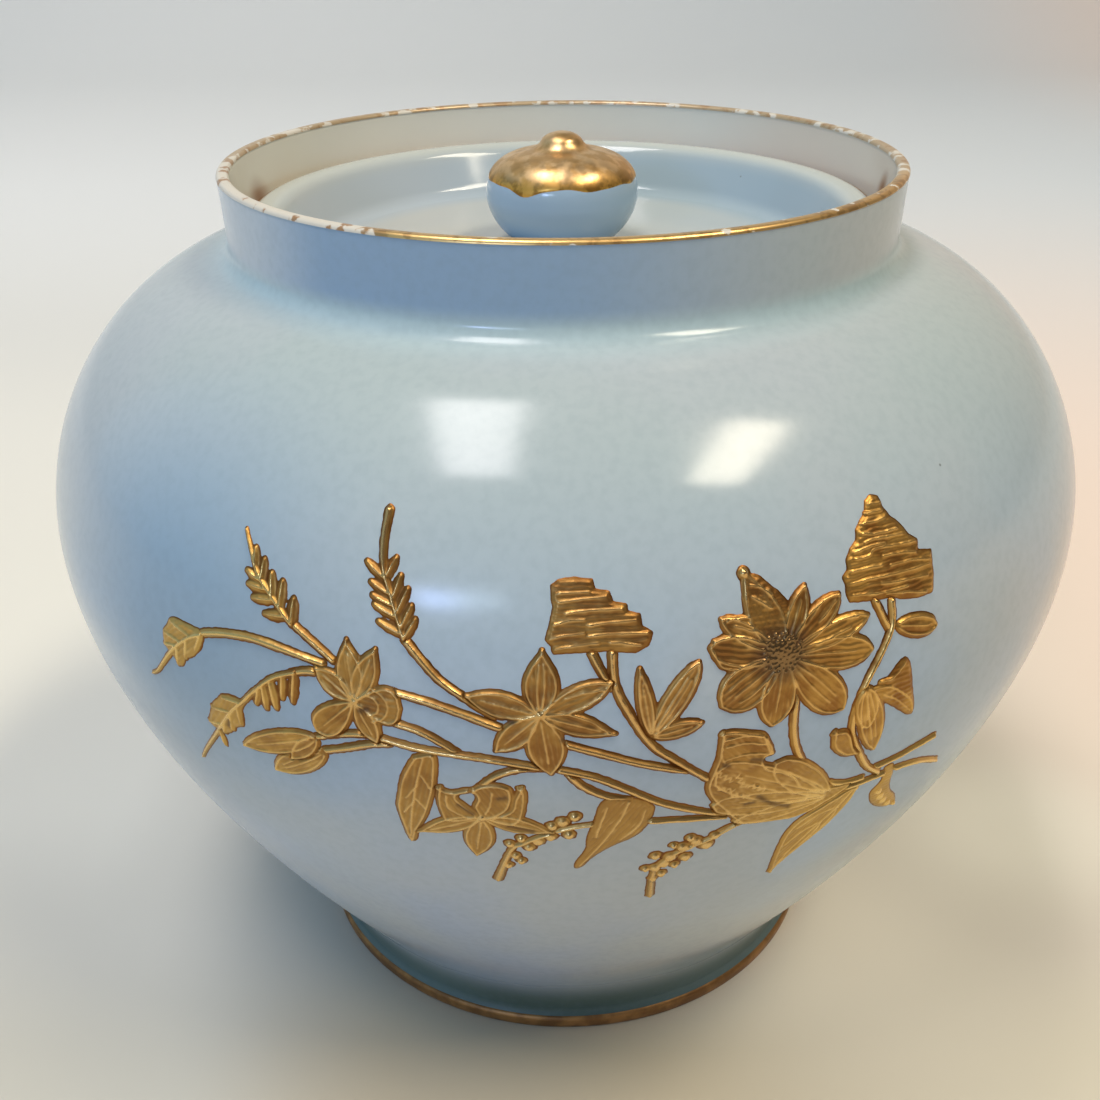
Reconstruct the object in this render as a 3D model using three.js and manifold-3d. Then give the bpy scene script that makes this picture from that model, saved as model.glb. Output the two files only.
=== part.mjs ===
// Lidded snuff jar: a round porcelain jar on a flared foot, with an upright collar, a sunken dished lid
// with a round knob, gold lines, and a flower spray of gilt raised paste on the front of the belly.
// Millimetres, +Z up. The origin is on the table, on the jar's axis; the spray faces -Y.

import * as THREE from "three";
import { mergeVertices } from "three/addons/utils/BufferGeometryUtils.js";
import Module from "manifold-3d";

const wasm = await Module();
wasm.setup();

// Clearances
const fitGap = 0.3; // between pieces that are joined or laid side by side
const lidClearance = 0.5; // round the lid's edge, inside the collar
const dishClearance = 0.8; // round the dish, inside the seat

// Heights, each measured from the top of the one before it
const footHeight = 9;
const lowerBellyHeight = 70.1;
const upperBellyHeight = 34.8;
const neckStep = 0.6; // from the end of the shoulder's curve up to the joint with the collar
const collarHeight = 11.1;

// Belly
const bellyRadius = 75;
const bellyWall = 3.2;
const bellyFloor = 4;
const floorCoveRise = 3; // height and width of the slope between the inner side and the floor
const floorCoveRun = 6;
const footJointRadius = 42.7;
const lowerCurveShares = { startOut: 0.412, startUp: 0.27, endDown: 0.312 };
const upperCurveShares = { startUp: 0.458, endOut: 0.6 };
const shoulderSlope = THREE.MathUtils.degToRad(12.9);

// Foot
const footTuck = 0.1; // the foot's edge lies this far inside its joint with the belly
const footWaistPull = 3; // how far the control point of the hollow lies inside the foot's edge
const footWaistShare = 0.6; // its height, as a share of the hollow's height
const footTread = 3.4; // width of the ring that it stands on
const footWaistWall = 2; // how far the inner side's control point lies inside the outer one's
const footRebate = 1.9; // height of the step that the foot's gold line sits in
const footEdgeLift = 0.4; // the gold line stays this far off the table
const footWallTop = 5.4;

// Collar and the seat inside it
const collarRadius = 46.9;
const collarWall = 2.7;
const collarFlare = 0.34;
const collarFillet = 2.6;
const lipThickness = 1.5;
const seatThickness = 2;
const seatWidth = 3.7;
const seatBearingWidth = 1.3; // how far the belly's mouth stands inside the collar to carry the seat

// Lid
const lidRimThickness = 3.3;
const lidCrownRise = 0.6; // the rim's rounding above the shelf of its gold line
const lidShelf = 0.8;
const dishLipInset = 1.2;
const dishDepth = 6.2;
const dishSlopeRun = 5.5;
const dishFloorThickness = 3;
const dishUndersideRun = 5.3;

// Knob
const knobRadius = 10.8;
const knobStemRadius = 4.2;
const knobUnderHeight = 7;
const knobTopHeight = 6.4;
const knobTopRoundness = 2.45; // 2 is an ellipse, more is squarer
const knobUnderRoundness = 1.6;
const nippleRadius = 3.2;
const nippleHeight = 2.4;
const knobGiltLevel = 1; // the gold starts this far above the widest place

// Gilding
const giltThickness = 0.35;
const lineThickness = 0.6;
const lidLineWidth = 0.7;
const lidLineHeight = 0.25;

// Spray of raised paste, drawn on the unrolled glaze: across runs round the belly, up runs along its side
const spraySpan = 106; // from the tip of the left-hand ear to the cut end of the main stem
const pasteRelief = 0.55;
const stemWidth = 0.95;
const stemStretchLength = 4; // a stem bends about this often
const earAxisWidth = 1;
const barWidth = 1.15;
const pointWidth = 0.3; // width of a leaf or petal at its very tip
const longestEdgeLength = 7; // longer edges are split before a piece is bent on to the glaze

// Smoothness
const aroundSteps = 44;
const knobAroundSteps = 24;
const outerSideSteps = 11;
const innerSideSteps = 7;
const filletSteps = 4;
const knobSteps = 5;
const bladeSteps = 5;
const grainSteps = 3;
const eyeSteps = 8;

// Levels and radii that follow from the sizes above
const bellyLevel = footHeight + lowerBellyHeight;
const shoulderLevel = bellyLevel + upperBellyHeight;
const neckLevel = shoulderLevel + neckStep;
const seatLevel = neckLevel + seatThickness;
const lipLevel = neckLevel + collarHeight;
const collarBore = collarRadius - collarWall;
const lipRadius = collarRadius + collarFlare;
const filletCentre = new THREE.Vector2(
  collarRadius + collarFillet,
  shoulderLevel + collarFillet * Math.cos(shoulderSlope),
);
const shoulderRadius = filletCentre.x - collarFillet * Math.sin(shoulderSlope);
const footRadius = footJointRadius - footTuck;
const bellyBore = collarBore - seatBearingWidth;
const seatBore = collarBore - seatWidth;
const lidRadius = collarBore - lidClearance;
const dishWallRadius = seatBore - dishClearance;

const glazeMaterial = new THREE.MeshStandardMaterial({ color: "#a9bcc9", roughness: 0.15, metalness: 0 });
const creamMaterial = new THREE.MeshStandardMaterial({ color: "#d9d4c0", roughness: 0.2, metalness: 0 });
const giltMaterial = new THREE.MeshStandardMaterial({ color: "#b07a35", roughness: 0.35, metalness: 1 });

function at(radius, height) {
  return new THREE.Vector2(radius, height);
}

function named(name, geometry, material) {
  const mesh = new THREE.Mesh(geometry, material);
  mesh.name = name;
  return mesh;
}

// A solid of revolution about Z. Its section is a list of radius and height.
function turned(section, steps = aroundSteps) {
  const geometry = new THREE.LatheGeometry(section, steps);
  geometry.rotateX(Math.PI / 2);
  return geometry;
}

// A ring: its section closes on itself.
function ring(section) {
  return turned([...section, section[0].clone()]);
}

// The outer side of the belly, from the foot to the widest place and on to the collar's fillet
function sideCurves() {
  const outLow = bellyRadius - footJointRadius;
  const outHigh = bellyRadius - shoulderRadius;
  const endPull = upperCurveShares.endOut * outHigh;
  const lower = new THREE.CubicBezierCurve(
    at(footJointRadius, footHeight),
    at(
      footJointRadius + lowerCurveShares.startOut * outLow,
      footHeight + lowerCurveShares.startUp * lowerBellyHeight,
    ),
    at(bellyRadius, bellyLevel - lowerCurveShares.endDown * lowerBellyHeight),
    at(bellyRadius, bellyLevel),
  );
  const upper = new THREE.CubicBezierCurve(
    at(bellyRadius, bellyLevel),
    at(bellyRadius, bellyLevel + upperCurveShares.startUp * upperBellyHeight),
    at(shoulderRadius + endPull, shoulderLevel - endPull * Math.tan(shoulderSlope)),
    at(shoulderRadius, shoulderLevel),
  );
  return { lower, upper };
}

const side = sideCurves();

// The point of a curve at a share of its length, moved inwards by a depth
function insetPoint(curve, share, depth) {
  const point = curve.getPointAt(share);
  const tangent = curve.getTangentAt(share);
  return at(point.x - depth * tangent.y, point.y + depth * tangent.x);
}

function insetLine(curve, depth, steps) {
  return Array.from({ length: steps + 1 }, (_, i) => insetPoint(curve, i / steps, depth));
}

// The concave rounding between shoulder and collar, between two levels
function filletLine(fromLevel, toLevel, steps) {
  const angleAt = (level) => Math.PI - Math.asin((level - filletCentre.y) / collarFillet);
  const from = angleAt(fromLevel);
  const to = angleAt(toLevel);
  return Array.from({ length: steps + 1 }, (_, i) => {
    const angle = from + ((to - from) * i) / steps;
    return at(
      filletCentre.x + collarFillet * Math.cos(angle),
      filletCentre.y + collarFillet * Math.sin(angle),
    );
  });
}

function jarBody() {
  const floorLevel = footHeight + bellyFloor;
  const outside = [
    ...insetLine(side.lower, 0, outerSideSteps),
    ...insetLine(side.upper, 0, outerSideSteps).slice(1),
  ];
  const inside = [
    ...insetLine(side.lower, bellyWall, innerSideSteps),
    ...insetLine(side.upper, bellyWall, innerSideSteps).slice(1),
  ].filter((point) => point.y > floorLevel + floorCoveRise);
  const shoulderInside = inside[inside.length - 1];
  const mouthUnderside = shoulderInside.y + (shoulderInside.x - bellyBore) * Math.tan(shoulderSlope);
  const floorRadius = inside[0].x - floorCoveRun;
  return turned([
    at(0, footHeight),
    ...outside,
    ...filletLine(shoulderLevel, neckLevel, 1).slice(1),
    at(bellyBore, neckLevel),
    at(bellyBore, mouthUnderside),
    ...inside.reverse(),
    at(floorRadius, floorLevel),
    at(0, floorLevel),
  ]);
}

function footRing() {
  const treadRadius = footRadius - lineThickness - fitGap;
  const waistRadius = footRadius - footWaistPull;
  const waistLevel = footRebate + footWaistShare * (footHeight - footRebate);
  const outside = new THREE.QuadraticBezierCurve(
    at(footRadius, footRebate),
    at(waistRadius, waistLevel),
    at(footJointRadius, footHeight),
  );
  const inside = new THREE.QuadraticBezierCurve(
    at(footJointRadius - footWallTop, footHeight),
    at(waistRadius - footWaistWall, waistLevel),
    at(treadRadius - footTread, 0),
  );
  return ring([
    at(treadRadius, 0),
    at(treadRadius, footRebate),
    ...outside.getPoints(filletSteps),
    ...inside.getPoints(filletSteps),
  ]);
}

function footGilding() {
  const inner = footRadius - lineThickness;
  return ring([
    at(inner, footEdgeLift),
    at(footRadius, footEdgeLift),
    at(footRadius, footRebate),
    at(inner, footRebate),
  ]);
}

function neckCollar() {
  const top = lipLevel - giltThickness;
  return ring([
    at(collarBore, neckLevel),
    ...filletLine(neckLevel, filletCentre.y, filletSteps),
    at(lipRadius, top),
    at(lipRadius - lipThickness, top),
    at(collarBore, seatLevel),
  ]);
}

function lipGilding() {
  const low = lipLevel - giltThickness;
  return ring([
    at(lipRadius - lipThickness, low),
    at(lipRadius, low),
    at(lipRadius - giltThickness, lipLevel),
    at(lipRadius - lipThickness + giltThickness, lipLevel),
  ]);
}

function lidSeat() {
  const outer = collarBore - fitGap;
  return ring([
    at(seatBore, neckLevel),
    at(outer, neckLevel),
    at(outer, seatLevel),
    at(seatBore, seatLevel),
  ]);
}

// The lid's own frame has its zero at the underside of the rim, where it rests on the seat.
const lidShelfLevel = lidRimThickness - lidCrownRise;
const dishFloorLevel = lidShelfLevel - dishDepth;

function lidDish() {
  const crownOuter = lidRadius - lidShelf;
  const crownInner = dishWallRadius - dishLipInset;
  const crown = new THREE.EllipseCurve(
    (crownOuter + crownInner) / 2,
    lidShelfLevel,
    (crownOuter - crownInner) / 2,
    lidCrownRise,
    0,
    Math.PI,
  );
  return turned([
    at(0, dishFloorLevel - dishFloorThickness),
    at(dishWallRadius - dishUndersideRun, dishFloorLevel - dishFloorThickness),
    at(dishWallRadius, 0),
    at(lidRadius, 0),
    at(lidRadius, lidShelfLevel),
    ...crown.getPoints(knobSteps),
    at(crownInner - dishSlopeRun, dishFloorLevel),
    at(0, dishFloorLevel),
  ]);
}

function lidGilding() {
  const outer = lidRadius;
  const inner = outer - lidLineWidth;
  return ring([
    at(inner, lidShelfLevel),
    at(outer, lidShelfLevel),
    at(outer, lidShelfLevel + lidLineHeight),
    at(inner, lidShelfLevel + lidLineHeight),
  ]);
}

// The knob's own frame has its zero on the floor of the dish.
// The rounded top of the knob above a level, pared down by an inset, and its nipple
function knobTopLine(level, inset) {
  const radius = knobRadius - inset;
  const height = knobTopHeight - inset;
  const power = 2 / knobTopRoundness;
  const nipple = nippleRadius - inset;
  const from = Math.asin(((level - knobUnderHeight) / height) ** (1 / power));
  const to = Math.acos((nipple / radius) ** (1 / power));
  const dome = Array.from({ length: knobSteps + 1 }, (_, i) => {
    const angle = from + ((to - from) * i) / knobSteps;
    return at(radius * Math.cos(angle) ** power, knobUnderHeight + height * Math.sin(angle) ** power);
  });
  const nippleBase = dome[knobSteps].y;
  const tip = Array.from({ length: knobSteps }, (_, i) => {
    const angle = (Math.PI / 2) * ((i + 1) / knobSteps);
    return at(nipple * Math.cos(angle), nippleBase + nippleHeight * Math.sin(angle));
  });
  tip[knobSteps - 1].x = 0;
  return [...dome, ...tip];
}

function lidKnob() {
  const level = knobUnderHeight + knobGiltLevel;
  const power = 2 / knobUnderRoundness;
  const underside = Array.from({ length: knobSteps + 1 }, (_, i) => {
    const angle = (Math.PI / 2) * (1 - i / knobSteps);
    return at(
      knobStemRadius + (knobRadius - knobStemRadius) * Math.cos(angle) ** power,
      knobUnderHeight * (1 - Math.sin(angle) ** power),
    );
  });
  const section = [
    at(0, 0),
    ...underside,
    knobTopLine(level, 0)[0],
    ...knobTopLine(level, giltThickness + fitGap),
  ];
  return turned(section, knobAroundSteps);
}

function knobGilding() {
  const level = knobUnderHeight + knobGiltLevel;
  const section = [...knobTopLine(level, giltThickness).reverse(), ...knobTopLine(level, 0)];
  return turned(section, knobAroundSteps);
}

// Spray: every place and half width is a share of the spray's span, across then up.
// A bloom has its centre, its eye's radius, and for each petal its tip and half width.
const bloomShares = {
  star_flower_left: {
    centre: [-0.214, 0.036],
    eye: 0.014,
    petals: [
      [-0.223, 0.099, 0.016],
      [-0.191, 0.094, 0.014],
      [-0.168, 0.034, 0.017],
      [-0.192, -0.007, 0.014],
      [-0.257, -0.008, 0.016],
      [-0.257, 0.063, 0.014],
    ],
  },
  star_flower_middle: {
    centre: [-0.024, 0.04],
    eye: 0.014,
    petals: [
      [-0.022, 0.104, 0.017],
      [-0.098, 0.056, 0.013],
      [-0.066, -0.001, 0.013],
      [-0.014, -0.026, 0.018],
      [0.047, 0.018, 0.012],
      [0.044, 0.071, 0.013],
    ],
  },
  star_flower_low: {
    centre: [-0.088, -0.1],
    eye: 0.014,
    petals: [
      [-0.13, -0.06, 0.018],
      [-0.072, -0.048, 0.017],
      [-0.042, -0.056, 0.013],
      [-0.019, -0.122, 0.013],
      [-0.1, -0.168, 0.016],
      [-0.16, -0.137, 0.014],
    ],
  },
  daisy: {
    centre: [0.224, 0.082],
    eye: 0.02,
    petals: [
      [0.187, 0.175, 0.022],
      [0.161, 0.128, 0.014],
      [0.147, 0.097, 0.019],
      [0.157, 0.04, 0.026],
      [0.214, 0.007, 0.021],
      [0.294, 0.008, 0.02],
      [0.327, 0.064, 0.019],
      [0.323, 0.103, 0.015],
      [0.293, 0.132, 0.014],
      [0.252, 0.146, 0.012],
    ],
  },
  ruffled_flower: {
    centre: [0.2, -0.075],
    eye: 0.03,
    petals: [
      [0.16, 0.01, 0.02],
      [0.207, 0.002, 0.02],
      [0.147, -0.055, 0.02],
      [0.165, -0.115, 0.022],
      [0.225, -0.145, 0.024],
      [0.275, -0.143, 0.024],
      [0.262, -0.09, 0.024],
    ],
  },
};

// A group of leaves on one node: their common base, then each leaf's tip, half width and sideways bow
const leafShares = {
  bud_upper: { base: [-0.262, -0.02], leaves: [[-0.365, -0.064, 0.014, 0.004]] },
  bud_lower: { base: [-0.256, -0.038], leaves: [[-0.326, -0.086, 0.016, 0.002]] },
  leaf_long: { base: [-0.14, -0.014], leaves: [[-0.178, -0.16, 0.021, 0.004]] },
  leaf_middle: { base: [0.068, -0.07], leaves: [[0.012, -0.193, 0.029, -0.004]] },
  leaf_right: { base: [0.342, -0.125], leaves: [[0.268, -0.273, 0.034, -0.006]] },
  leaf_round: { base: [0.364, 0.08], leaves: [[0.417, 0.068, 0.013, -0.003]] },
  leaf_small: { base: [0.33, -0.066], leaves: [[0.289, -0.026, 0.012, -0.004]] },
  trefoil_middle: {
    base: [0.086, 0.01],
    leaves: [
      [0.075, 0.086, 0.01, 0.002],
      [0.134, 0.086, 0.012, 0.004],
      [0.136, 0.02, 0.01, 0.002],
    ],
  },
  trefoil_right: {
    base: [0.322, 0.024],
    leaves: [
      [0.329, -0.026, 0.012, 0],
      [0.346, -0.064, 0.015, 0],
      [0.392, -0.032, 0.015, -0.004],
      [0.372, 0.04, 0.011, -0.004],
    ],
  },
  berry_twig: {
    base: [0.378, -0.13],
    leaves: [
      [0.384, -0.168, 0.01, 0],
      [0.437, -0.212, 0.013, -0.004],
    ],
  },
};

// An ear or catkin: the points of its axis from its foot to its tip, then its grains:
// how many on each side, the stretch of the axis that they stand on, and their length and half width
const earShares = {
  ear_upright_left: {
    axis: [[-0.292, 0.108], [-0.312, 0.124], [-0.332, 0.143], [-0.347, 0.164], [-0.363, 0.188]],
    grains: { count: 5, from: 0.02, to: 0.6, length: 0.026, half: 0.0055 },
  },
  ear_upright_right: {
    axis: [[-0.162, 0.11], [-0.172, 0.135], [-0.183, 0.162], [-0.19, 0.19], [-0.193, 0.234]],
    grains: { count: 5, from: 0.02, to: 0.55, length: 0.03, half: 0.0055 },
  },
  ear_drooping_upper: {
    axis: [[-0.418, 0.059], [-0.437, 0.048], [-0.455, 0.03], [-0.478, 0.002], [-0.505, -0.021]],
    grains: { count: 4, from: 0.02, to: 0.48, length: 0.028, half: 0.006 },
  },
  ear_drooping_lower: {
    axis: [
      [-0.287, 0.05], [-0.318, 0.033], [-0.345, 0.013],
      [-0.375, -0.018], [-0.405, -0.055], [-0.457, -0.128],
    ],
    grains: { count: 6, from: 0.03, to: 0.66, length: 0.03, half: 0.007 },
  },
  catkin_left: {
    axis: [
      [0.03, -0.103], [0.006, -0.106], [-0.02, -0.117],
      [-0.046, -0.137], [-0.066, -0.17], [-0.079, -0.222],
    ],
    grains: { count: 6, from: 0.12, to: 0.72, length: 0.02, half: 0.0055 },
  },
  catkin_right: {
    axis: [
      [0.165, -0.15], [0.14, -0.162], [0.118, -0.185],
      [0.106, -0.215], [0.104, -0.245], [0.107, -0.272],
    ],
    grains: { count: 6, from: 0.02, to: 0.66, length: 0.023, half: 0.006 },
  },
};
const grainAngle = THREE.MathUtils.degToRad(42);

// A stepped flower head: its bars from the top down, each from its left end to its right end
const headShares = {
  stepped_head_left: [
    [-0.004, 0.172, 0.026, 0.172],
    [-0.013, 0.163, 0.032, 0.163],
    [-0.01, 0.155, 0.047, 0.155],
    [-0.009, 0.147, 0.062, 0.147],
    [-0.014, 0.139, 0.064, 0.139],
    [-0.019, 0.131, 0.078, 0.131],
    [-0.021, 0.122, 0.086, 0.122],
    [-0.02, 0.114, 0.084, 0.114],
    [-0.013, 0.107, 0.08, 0.107],
  ],
  stepped_head_right: [
    [0.349, 0.214, 0.369, 0.214],
    [0.338, 0.205, 0.373, 0.204],
    [0.328, 0.196, 0.381, 0.194],
    [0.325, 0.187, 0.391, 0.185],
    [0.32, 0.178, 0.396, 0.175],
    [0.313, 0.169, 0.405, 0.165],
    [0.307, 0.16, 0.404, 0.155],
    [0.3, 0.151, 0.423, 0.145],
    [0.303, 0.142, 0.42, 0.135],
    [0.304, 0.133, 0.421, 0.125],
    [0.306, 0.124, 0.417, 0.115],
    [0.345, 0.115, 0.413, 0.106],
  ],
};

// The stems, laid last, so that each stops short of what lies on it
const stemShares = {
  stem_head_left: [
    [0.047, 0.104], [0.05, 0.07], [0.066, 0.035],
    [0.086, 0.002], [0.11, -0.02], [0.155, -0.058],
  ],
  stem_head_left_fork: [[0.027, 0.104], [0.036, 0.086], [0.046, 0.068]],
  stem_head_right: [
    [0.357, 0.11], [0.355, 0.085], [0.34, 0.058], [0.322, 0.03], [0.311, 0],
    [0.311, -0.03], [0.325, -0.06], [0.345, -0.092], [0.368, -0.113],
  ],
  stem_head_right_fork: [[0.335, 0.118], [0.343, 0.098], [0.352, 0.08]],
  stem_daisy: [
    [0.238, 0.035], [0.237, 0], [0.244, -0.032], [0.262, -0.065],
    [0.288, -0.094], [0.318, -0.11], [0.345, -0.112],
  ],
  stem_main: [
    [0.488, -0.157], [0.46, -0.141], [0.43, -0.128], [0.395, -0.121],
    [0.355, -0.121], [0.3, -0.122], [0.25, -0.13],
  ],
  stem_cut: [[0.372, -0.108], [0.39, -0.1], [0.42, -0.097], [0.448, -0.092]],
  stem_buds: [
    [-0.262, -0.019], [-0.225, -0.006], [-0.195, -0.003], [-0.15, -0.01],
    [-0.09, -0.014], [-0.045, -0.02], [-0.012, -0.026],
  ],
  stem_bud_lower: [[-0.256, -0.036], [-0.23, -0.026], [-0.2, -0.014], [-0.18, -0.01]],
  stem_ear_upright_left: [[-0.238, 0.076], [-0.262, 0.091], [-0.292, 0.108]],
  stem_ear_upright_right: [
    [-0.07, 0.037], [-0.098, 0.054], [-0.125, 0.072], [-0.145, 0.092], [-0.161, 0.109],
  ],
  stem_ear_drooping_upper: [
    [-0.25, 0.07], [-0.29, 0.075], [-0.335, 0.078], [-0.38, 0.072], [-0.417, 0.06],
  ],
  stem_ear_drooping_lower: [[-0.245, 0.06], [-0.268, 0.058], [-0.287, 0.051]],
  stem_left_upper: [[-0.178, 0.053], [-0.14, 0.047], [-0.1, 0.036], [-0.06, 0.022]],
  stem_left_lower: [[-0.175, 0.018], [-0.145, 0.011], [-0.12, -0.002], [-0.106, -0.012]],
  stem_star_flower_low: [[-0.02, -0.024], [-0.045, -0.026], [-0.07, -0.037], [-0.088, -0.055]],
  stem_middle: [[0, 0.006], [0.04, -0.008], [0.08, -0.023], [0.125, -0.037]],
  stem_low: [
    [-0.006, -0.026], [0.03, -0.037], [0.065, -0.057],
    [0.1, -0.08], [0.14, -0.099], [0.175, -0.113],
  ],
  stem_leaf_middle: [[0.004, -0.032], [0.018, -0.049], [0.042, -0.064], [0.068, -0.072]],
  stem_low_right: [[0.175, -0.117], [0.13, -0.112], [0.085, -0.108]],
  stem_catkin_right: [[0.2, -0.133], [0.18, -0.14], [0.165, -0.15]],
};

function onSpray([across, up]) {
  return new THREE.Vector2(across * spraySpan, up * spraySpan);
}

function solidFrom(geometry) {
  const bare = geometry.clone();
  bare.deleteAttribute("normal");
  bare.deleteAttribute("uv");
  const merged = mergeVertices(bare);
  return new wasm.Manifold(
    new wasm.Mesh({
      numProp: 3,
      vertProperties: merged.getAttribute("position").array,
      triVerts: new Uint32Array(merged.index.array),
    }),
  );
}

// A flat slab of an outline. Grown slabs cut the room for later pieces, so they reach past both faces.
function slab(outline, grow) {
  const geometry = new THREE.ExtrudeGeometry(new THREE.Shape(outline), {
    depth: pasteRelief + 2 * grow,
    bevelEnabled: false,
  });
  geometry.translate(0, 0, fitGap - grow);
  return solidFrom(geometry);
}

// A band along a line through some points, whose half width depends on how far along it is
function band(points, halfAt, steps, grow) {
  const plain = new THREE.SplineCurve(points);
  const ends = points.map((point) => point.clone());
  ends[0].sub(plain.getTangentAt(0).multiplyScalar(grow));
  ends[ends.length - 1].add(plain.getTangentAt(1).multiplyScalar(grow));
  const line = new THREE.SplineCurve(ends);
  const left = [];
  const right = [];
  for (let i = 0; i <= steps; i++) {
    const share = i / steps;
    const point = line.getPointAt(share);
    const tangent = line.getTangentAt(share);
    const out = new THREE.Vector2(-tangent.y, tangent.x).multiplyScalar(halfAt(share) + grow);
    left.push(point.clone().add(out));
    right.unshift(point.clone().sub(out));
  }
  return slab([...left, ...right], grow);
}

// A leaf or petal. A lean under 1 puts its widest place nearer the base, over 1 nearer the tip.
const leafLean = 0.8;
const petalLean = 1.15;

function blade(base, tip, half, bow, lean, steps, grow) {
  const along = tip.clone().sub(base);
  const sideways = new THREE.Vector2(-along.y, along.x).setLength(bow);
  const middle = base.clone().add(tip).divideScalar(2).add(sideways);
  const point = pointWidth / 2;
  const halfAt = (share) => point + (half - point) * Math.sin(Math.PI * share ** lean);
  return band([base, middle, tip], halfAt, steps, grow);
}

function disc(centre, radius, grow) {
  const outline = new THREE.EllipseCurve(centre.x, centre.y, radius + grow, radius + grow);
  return slab(outline.getPoints(eyeSteps).slice(1), grow);
}

function joined(solids) {
  return solids.reduce((whole, solid) => whole.add(solid));
}

function bloom({ centre, eye, petals }, grow) {
  const middle = onSpray(centre);
  const blades = petals.map(([across, up, half]) =>
    blade(middle, onSpray([across, up]), half * spraySpan, 0, petalLean, bladeSteps, grow),
  );
  return joined([disc(middle, eye * spraySpan, grow), ...blades]);
}

function leafGroup({ base, leaves }, grow) {
  const blades = leaves.map(([across, up, half, bow]) => {
    const tip = onSpray([across, up]);
    return blade(onSpray(base), tip, half * spraySpan, bow * spraySpan, leafLean, bladeSteps, grow);
  });
  return joined(blades);
}

function ear({ axis, grains }, grow) {
  const line = new THREE.SplineCurve(axis.map(onSpray));
  const axisHalf = (share) => (earAxisWidth * (1 - share) + pointWidth * share) / 2;
  const solids = [band(axis.map(onSpray), axisHalf, bladeSteps, grow)];
  for (let i = 0; i < grains.count; i++) {
    const share = grains.from + ((grains.to - grains.from) * i) / (grains.count - 1);
    const foot = line.getPointAt(share);
    const ahead = line.getTangentAt(share).multiplyScalar(grains.length * spraySpan);
    for (const turn of [grainAngle, -grainAngle]) {
      const tip = ahead.clone().rotateAround(new THREE.Vector2(), turn).add(foot);
      solids.push(blade(foot, tip, grains.half * spraySpan, 0, petalLean, grainSteps, grow));
    }
  }
  return joined(solids);
}

function steppedHead(bars, grow) {
  return joined(
    bars.map(([leftAcross, leftUp, rightAcross, rightUp]) => {
      const ends = [onSpray([leftAcross, leftUp]), onSpray([rightAcross, rightUp])];
      return band(ends, () => barWidth / 2, 2, grow);
    }),
  );
}

function stem(points, grow) {
  const places = points.map(onSpray);
  const steps = Math.ceil(new THREE.SplineCurve(places).getLength() / stemStretchLength);
  return band(places, () => stemWidth / 2, steps, grow);
}

// Splits every edge that is too long, so that a piece can follow the round of the belly.
function splitLongEdges(points, triangles) {
  const middles = new Map();
  const middleOf = (a, b) => {
    const key = Math.min(a, b) + "_" + Math.max(a, b);
    if (points[a].distanceTo(points[b]) <= longestEdgeLength) return null;
    if (!middles.has(key)) {
      middles.set(key, points.length);
      points.push(points[a].clone().add(points[b]).divideScalar(2));
    }
    return middles.get(key);
  };
  const split = [];
  for (const corners of triangles) {
    const lengths = corners.map((corner, i) => points[corner].distanceTo(points[corners[(i + 1) % 3]]));
    const first = lengths.indexOf(Math.max(...lengths));
    const [a, b, c] = [0, 1, 2].map((i) => corners[(first + i) % 3]);
    const [ab, bc, ca] = [middleOf(a, b), middleOf(b, c), middleOf(c, a)];
    if (ab === null) split.push([a, b, c]);
    else if (bc === null && ca === null) split.push([a, ab, c], [ab, b, c]);
    else if (ca === null) split.push([a, ab, c], [ab, bc, c], [ab, b, bc]);
    else if (bc === null) split.push([a, ab, ca], [ab, b, c], [ab, c, ca]);
    else split.push([a, ab, ca], [ab, b, bc], [ca, bc, c], [ab, bc, ca]);
  }
  return middles.size ? splitLongEdges(points, split) : triangles;
}

// Bends a flat piece on to the glaze: across goes round the axis, up goes along the side, z stands off it.
function onGlaze(flat) {
  const lowerLength = side.lower.getLength();
  const curve = flat.y < 0 ? side.lower : side.upper;
  const share = flat.y < 0 ? 1 + flat.y / lowerLength : flat.y / side.upper.getLength();
  const { x: radius, y: height } = insetPoint(curve, share, -flat.z);
  const azimuth = flat.x / bellyRadius;
  return new THREE.Vector3(radius * Math.sin(azimuth), -radius * Math.cos(azimuth), height);
}

function bent(solid) {
  const { numProp, vertProperties, triVerts } = solid.getMesh();
  const points = [];
  for (let i = 0; i < vertProperties.length; i += numProp)
    points.push(new THREE.Vector3(...vertProperties.subarray(i, i + 3)));
  const corners = [];
  for (let i = 0; i < triVerts.length; i += 3) corners.push([...triVerts.subarray(i, i + 3)]);
  const triangles = splitLongEdges(points, corners);
  const geometry = new THREE.BufferGeometry().setFromPoints(points.map(onGlaze));
  geometry.setIndex(triangles.flat());
  geometry.computeVertexNormals();
  return geometry;
}

// What shows of a piece that others lie across is its largest stretch.
function largestStretch(solid) {
  return solid.decompose().reduce((most, next) => (next.volume() > most.volume() ? next : most));
}

function sprayMeshes() {
  const makers = [
    [bloomShares, bloom],
    [headShares, steppedHead],
    [leafShares, leafGroup],
    [earShares, ear],
    [stemShares, stem],
  ];
  const meshes = [];
  let laid = null;
  for (const [table, make] of makers)
    for (const [name, shares] of Object.entries(table)) {
      const whole = make(shares, 0);
      const room = make(shares, fitGap);
      meshes.push(named(name, bent(largestStretch(laid ? whole.subtract(laid) : whole)), giltMaterial));
      laid = laid ? laid.add(room) : room;
    }
  return meshes;
}

function jarGroup() {
  const jar = new THREE.Group();
  jar.add(
    named("jar_body", jarBody(), glazeMaterial),
    named("foot_ring", footRing(), glazeMaterial),
    named("neck_collar", neckCollar(), glazeMaterial),
    named("lid_seat", lidSeat(), creamMaterial),
    named("lip_gilding", lipGilding(), giltMaterial),
    named("foot_gilding", footGilding(), giltMaterial),
  );
  return jar;
}

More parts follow.
